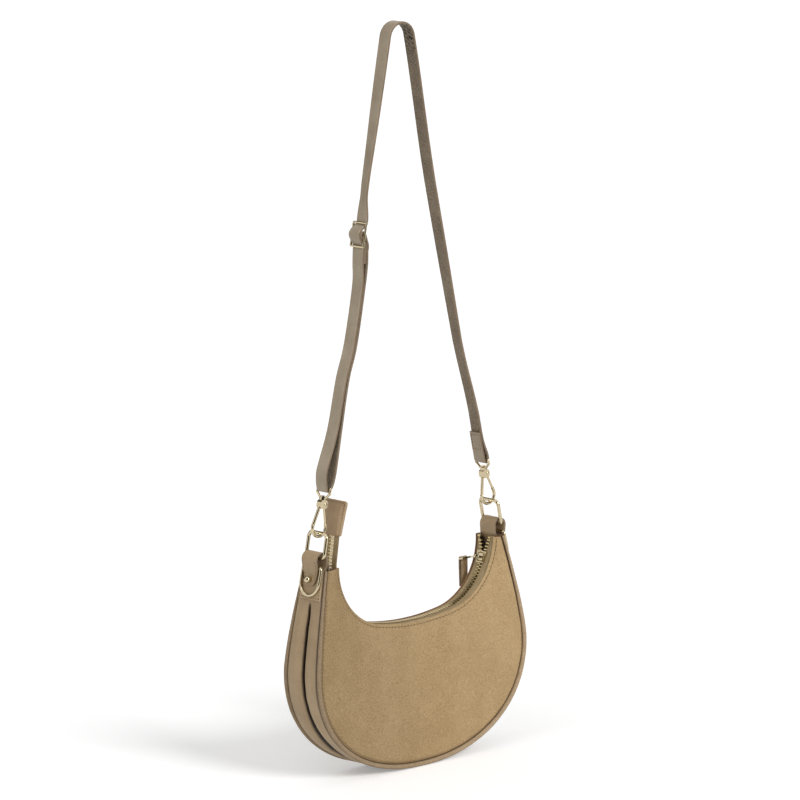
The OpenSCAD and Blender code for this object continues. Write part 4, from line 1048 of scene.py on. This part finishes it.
sheet("leather_pull_strip", "leather_pull", bent_grid(110, 8, pull_place, flip=True),
      [taupe, edge_paint], pull_t, offset=0.0, edge=0.3 * MM,
      body="leather_pull")
pull_rows = []
for edge_side in (-1, 1):
    edge = xz(edge_side * (pull_w / 2 - 1.4 * MM), 0)
    row = [in_frame(pull_bar + edge - xz(0, mix(8 * MM, pull_l - 1 * MM, f)),
                    pull_bar.y + 0.7 * pull_r + pull_t / 2 + 0.1 * MM) for f in shares(12)]
    pull_rows.append((row, Vector((0, 1, 0))))
stitch_row("pull_stitches", pull_rows, 2 * MM, 0.2 * MM,
           body="leather_pull")

# %% [markdown]
# ## Strap
# The strap is one long strip. It starts sewn back on itself at the right eye, goes over the
# top, down through the buckle, round the left eye, and ends folded round the buckle's middle
# bar. The route is worked out from the same bars and gaps as in the CAD model. Between the
# places that hold it, each leg turns a little about its own line, and the right leg bows.

# %% Where the strap's legs run
strap_drop, strap_w, strap_t, strap_top_r = 494 * MM, 14 * MM, 2.2 * MM, 15 * MM
buckle_up, buckle_l, buckle_wire, eye_wire = 235 * MM, 22 * MM, 2.2 * MM, 2.4 * MM
ring_up, eye_up = 10.5 * MM, 64.7 * MM
rise = strap_drop + strap_t / 2 - strap_top_r - ring_up
chain_lean = atan2(loop_x, rise) - asin(strap_top_r / hypot(loop_x, rise))
leg_l = sqrt(loop_x ** 2 + rise ** 2 - strap_top_r ** 2) - eye_up
up_way, out_way = up_at(chain_lean), xz(cos(chain_lean), sin(chain_lean))
eye_at = xz(loop_x, ring_up) + eye_up * up_way

def right_leg(l, n):
    return eye_at + l * up_way + n * out_way

def left_leg(l, n):
    p = right_leg(l, n)
    return xz(-p.x, p.z)

layer, half_l, near = strap_t + seat_gap, buckle_l / 2, 1.3 * buckle_l / 2
wrap_r = eye_wire / 2 + seat_gap + strap_t / 2
bar_r = buckle_wire / 2 + seat_gap + strap_t / 2
over_r = bar_r + layer + seat_gap
back_r = over_r + layer + seat_gap
back_slant = asin((back_r - bar_r) / half_l)
strand_gap, fold_l, end_l, bow_in = 5.5 * MM, 28 * MM, 26 * MM, 9 * MM
pair_half = (layer + seat_gap) / 2
print("leg length", round(leg_l, 4), "lean", round(degrees(chain_lean), 2))

# %% Route of the strap
def round_bar(leg, l, r, angles):
    """Points round a bar that lies l along a leg, at angles in degrees."""
    return [leg(l + r * sin(radians(a)), r * cos(radians(a)))
            for a in angles]

def under_buckle(n):
    return [left_leg(buckle_up - near, n), left_leg(buckle_up - end_l, n - bow_in / 5)]

def strand(side):
    """One of the two layers below the buckle: how far up, how far bowed, how far apart."""
    spots = ((0.8, 1, 1), (0.57, 0.95, 1), (0.43, 0.5, 1.1), (0.23, 0.35, 1.7))
    pair = [left_leg(buckle_up * up, side * pair_half * apart - bow_in * bowed)
            for up, bowed, apart in spots]
    return pair + [left_leg(3 * strand_gap, side * strand_gap),
                   left_leg(2 * wrap_r, side * wrap_r * 1.7)]

def strap_points():
    slant, back, bar = 45, degrees(back_slant), partial(round_bar, left_leg)
    high, low = buckle_up + half_l, buckle_up - half_l
    right = [right_leg(l, -layer - seat_gap) for l in (fold_l, fold_l / 2)]
    right += [right_leg(2 * wrap_r, -wrap_r)]
    right += round_bar(right_leg, 0, wrap_r, range(180, 361, 30))
    right += [right_leg(2 * wrap_r, wrap_r), right_leg(fold_l * 0.75, 0),
              right_leg(fold_l * 1.7, 0), right_leg(leg_l / 2, 0)]
    turns = [mix(chain_lean, pi - chain_lean, f) for f in shares(14)]
    top_z = strap_drop + strap_t / 2 - strap_top_r
    top = [xz(strap_top_r * cos(a), top_z + strap_top_r * sin(a)) for a in turns]
    down = [left_leg((leg_l + buckle_up) / 2, 0), left_leg(buckle_up + 2 * buckle_l, 0),
            left_leg(buckle_up + near, -bar_r)]
    down += bar(high, bar_r, (180, 180 + slant)) + bar(buckle_up, over_r, (slant, 0, -slant))
    down += bar(low, bar_r, (180 - slant, 180)) + under_buckle(-bar_r)
    down += strand(1) + bar(0, wrap_r, range(360, 179, -30)) + strand(-1)[::-1]
    up = under_buckle(-back_r)[::-1] + bar(low, back_r, (180, 180 - back))
    up += bar(buckle_up, bar_r, [mix(180 - back, -slant, f) for f in shares(7)])
    up += bar(low, over_r, (180 - slant, 180)) + under_buckle(-over_r)
    return right + top + down + up

def spline(p, steps):
    """A smooth line through the points. The slope at each is kept small beside short runs."""
    def slope(a, b, c, here):
        return (c - a) / 2 * min(1, 2 * here / max(here, (b - a).length, (c - b).length))
    out = []
    for i in range(len(p) - 1):
        a, b, c, d = p[max(0, i - 1)], p[i], p[i + 1], p[min(len(p) - 1, i + 2)]
        run = (c - b).length
        m, n = slope(a, b, c, run), slope(b, c, d, run)
        for k in range(steps):
            t = k / steps
            out.append((2 * t ** 3 - 3 * t * t + 1) * b + (t ** 3 - 2 * t * t + t) * m
                       + (3 * t * t - 2 * t ** 3) * c + (t ** 3 - t * t) * n)
    return out + [p[-1]]

strap_line = spline(strap_points(), 10)
strap_run = [0.0]
for a, b in zip(strap_line, strap_line[1:]):
    strap_run.append(strap_run[-1] + (b - a).length)
print("strap length", round(strap_run[-1], 3), "points", len(strap_line))

# %% The strap
buckle_z = left_leg(buckle_up, 0).z
left_twist, right_twist, right_bow = radians(21), radians(9), 6 * MM

def strap_twist(p):
    """The turn fades out above the buckle, at the top and at the right hook."""
    if p.x < 0:
        return (left_twist * smooth01((p.z - buckle_z - 13 * MM) / (24 * MM))
                * smooth01((strap_drop - 25 * MM - p.z) / (150 * MM)))
    return right_twist * bell(p.z - 180 * MM, 70 * MM)

def strap_bow(p):
    held = (smooth01((p.z - eye_at.z - 40 * MM) / (80 * MM))
            * smooth01((strap_drop - p.z) / (160 * MM)))
    return right_bow * held if p.x > 0 else 0.0

def strap_place(u, w):
    i = round(u * (len(strap_line) - 1))
    p, q = strap_line[i], 2 * w - 1
    wide = strap_w / 2 * (1 + 0.012 * ripple(90, strap_run[i] / 0.05))
    a = strap_twist(p)
    return in_frame(xz(p.x + q * wide * sin(a), p.z),
                    q * wide * cos(a) + strap_bow(p))

sheet("strap_leather", "strap", bent_grid(len(strap_line) - 1, 6, strap_place, flip=True),
      [strap_face, strap_flesh, edge_paint], strap_t, offset=0.0,
      edge=0.5 * MM, rim=2, inner=1, body="strap")

# %% Strap stitches
def strap_box(n):
    """A rectangle of stitches that holds the folded end at the right eye."""
    edge, low, high, points = strap_w / 2 - 2 * MM, fold_l * 0.4, fold_l - 2.5 * MM, []
    corners = [(low, -edge), (high, -edge), (high, edge), (low, edge), (low, -edge)]
    for (l0, y0), (l1, y1) in zip(corners, corners[1:]):
        points += [in_frame(right_leg(mix(l0, l1, f), n), mix(y0, y1, f)) for f in shares(8)]
    return points

out_face = strap_t / 2 + 0.03 * MM
stitch_row("strap_end_stitches",
           [(strap_box(-layer - seat_gap - out_face), -out_way), (strap_box(out_face), out_way)],
           2.3 * MM, 0.28 * MM, body="strap")

# %% [markdown]
# ## Floor, light and camera
# The bag hangs just above a plain white floor. The main soft light comes from in front, so the
# shadow falls behind, to the left in the picture. A wider light fills from the left and a weak
# one from behind. The floor and the world look white to the camera and to gloss, and light the
# leather at a plain level. The camera is far off with a long lens, and turned by about one
# degree.

# %% Floor
def seen_rays(tree):
    """1 for the rays that are seen: straight, in a gloss, or through something clear."""
    rays = add_node(tree, "LightPath")
    gloss = sums(tree, "MAXIMUM", rays.outputs["Is Camera Ray"], rays.outputs["Is Glossy Ray"])
    return sums(tree, "MAXIMUM", gloss, rays.outputs["Is Transmission Ray"])

floor_z = cad_box[0][2] - 0.4 * MM
floor_mat, tree, shader = new_finish("white_floor", (0.92, 0.92, 0.92), 0.9)
put(shader, Specular_IOR_Level=0.1, Emission_Color=(1, 1, 1),
    Emission_Strength=sums(tree, "MULTIPLY", seen_rays(tree), 0.26))

floor_bm = bmesh.new()
bmesh.ops.create_grid(floor_bm, x_segments=1, y_segments=1, size=20,
                      matrix=Matrix.Translation((0, 0, floor_z)))
new_object("floor", floor_bm, [floor_mat])
print("floor at", round(floor_z, 4))

# %% World and lights
world = bpy.data.worlds.new("studio")
bpy.context.scene.world = world
world.use_nodes = True
tree = world.node_tree
back = tree.nodes["Background"]
split = add_node(tree, "SeparateXYZ", Vector=add_node(tree, "TexCoord").outputs["Generated"])
sky = ramp(tree, split.outputs["Z"], (0.2, 0.2, 0.2), (0.4, 0.4, 0.4), 0.0, 0.8)
put(back, Color=blend_colour(tree, seen_rays(tree), sky, (1.0, 1.0, 1.0)), Strength=1.0)

def sun(name, toward, strength, angle):
    lamp = bpy.data.lights.new(name, "SUN")
    lamp.energy, lamp.angle = strength, radians(angle)
    facing = (-Vector(toward)).to_track_quat("-Z", "Y")
    place_object(name, lamp).rotation_euler = facing.to_euler()

sun("key", (0.05, -1.0, 0.62), 1.9, 22)
sun("fill", (-0.9, -0.35, 0.6), 0.9, 60)
sun("rear", (0.5, 1.0, 0.5), 0.3, 60)

# %% [markdown]
# Polished metal shows what stands round it. Three black cards, or flags, that only glosses see
# darken the edges of the rings and hooks.

# %% Dark flags
def flag(name, bearing, width, low, high, away=2.2):
    a = radians(bearing)
    out, along = Vector((cos(a), sin(a), 0)), Vector((-sin(a), cos(a), 0))
    bm = bmesh.new()
    bmesh.ops.create_grid(bm, x_segments=1, y_segments=1, size=0.5)
    for vert in bm.verts:
        vert.co = (out * away + along * width * vert.co.x
                   + xz(0, mix(low, high, vert.co.y + 0.5)))
    card = new_object(name, bm, [black])
    card.visible_camera = card.visible_diffuse = card.visible_shadow = False
    card.visible_transmission = False

black = new_finish("black_flag", (0.01, 0.01, 0.01), 1.0)[0]
for i, (bearing, width) in enumerate(((-136, 4.0), (-42, 1.3), (88, 2.6))):
    flag("flag_%d" % i, bearing, width, floor_z + 0.02, 2.4)

# %% Camera
view_az, view_el, roll = radians(-42.06), radians(10.18), radians(-0.90)
look_at, away = Vector((-3.6 * MM, 0, -350.4 * MM)), 4.948
cam = bpy.data.cameras.new("photo_camera")
cam.lens, cam.sensor_width, cam.clip_end = 240, 36, 100
camera = place_object("photo_camera", cam)
away_xy = away * cos(view_el)
camera.location = look_at + Vector((away_xy * sin(view_az), -away_xy * cos(view_az),
                                    away * sin(view_el)))
facing = (look_at - camera.location).to_track_quat("-Z", "Y").to_matrix().to_4x4()
camera.rotation_euler = (facing @ Matrix.Rotation(roll, 4, "Z")).to_euler()
bpy.context.scene.camera = camera
bpy.context.scene.view_settings.view_transform = "Standard"
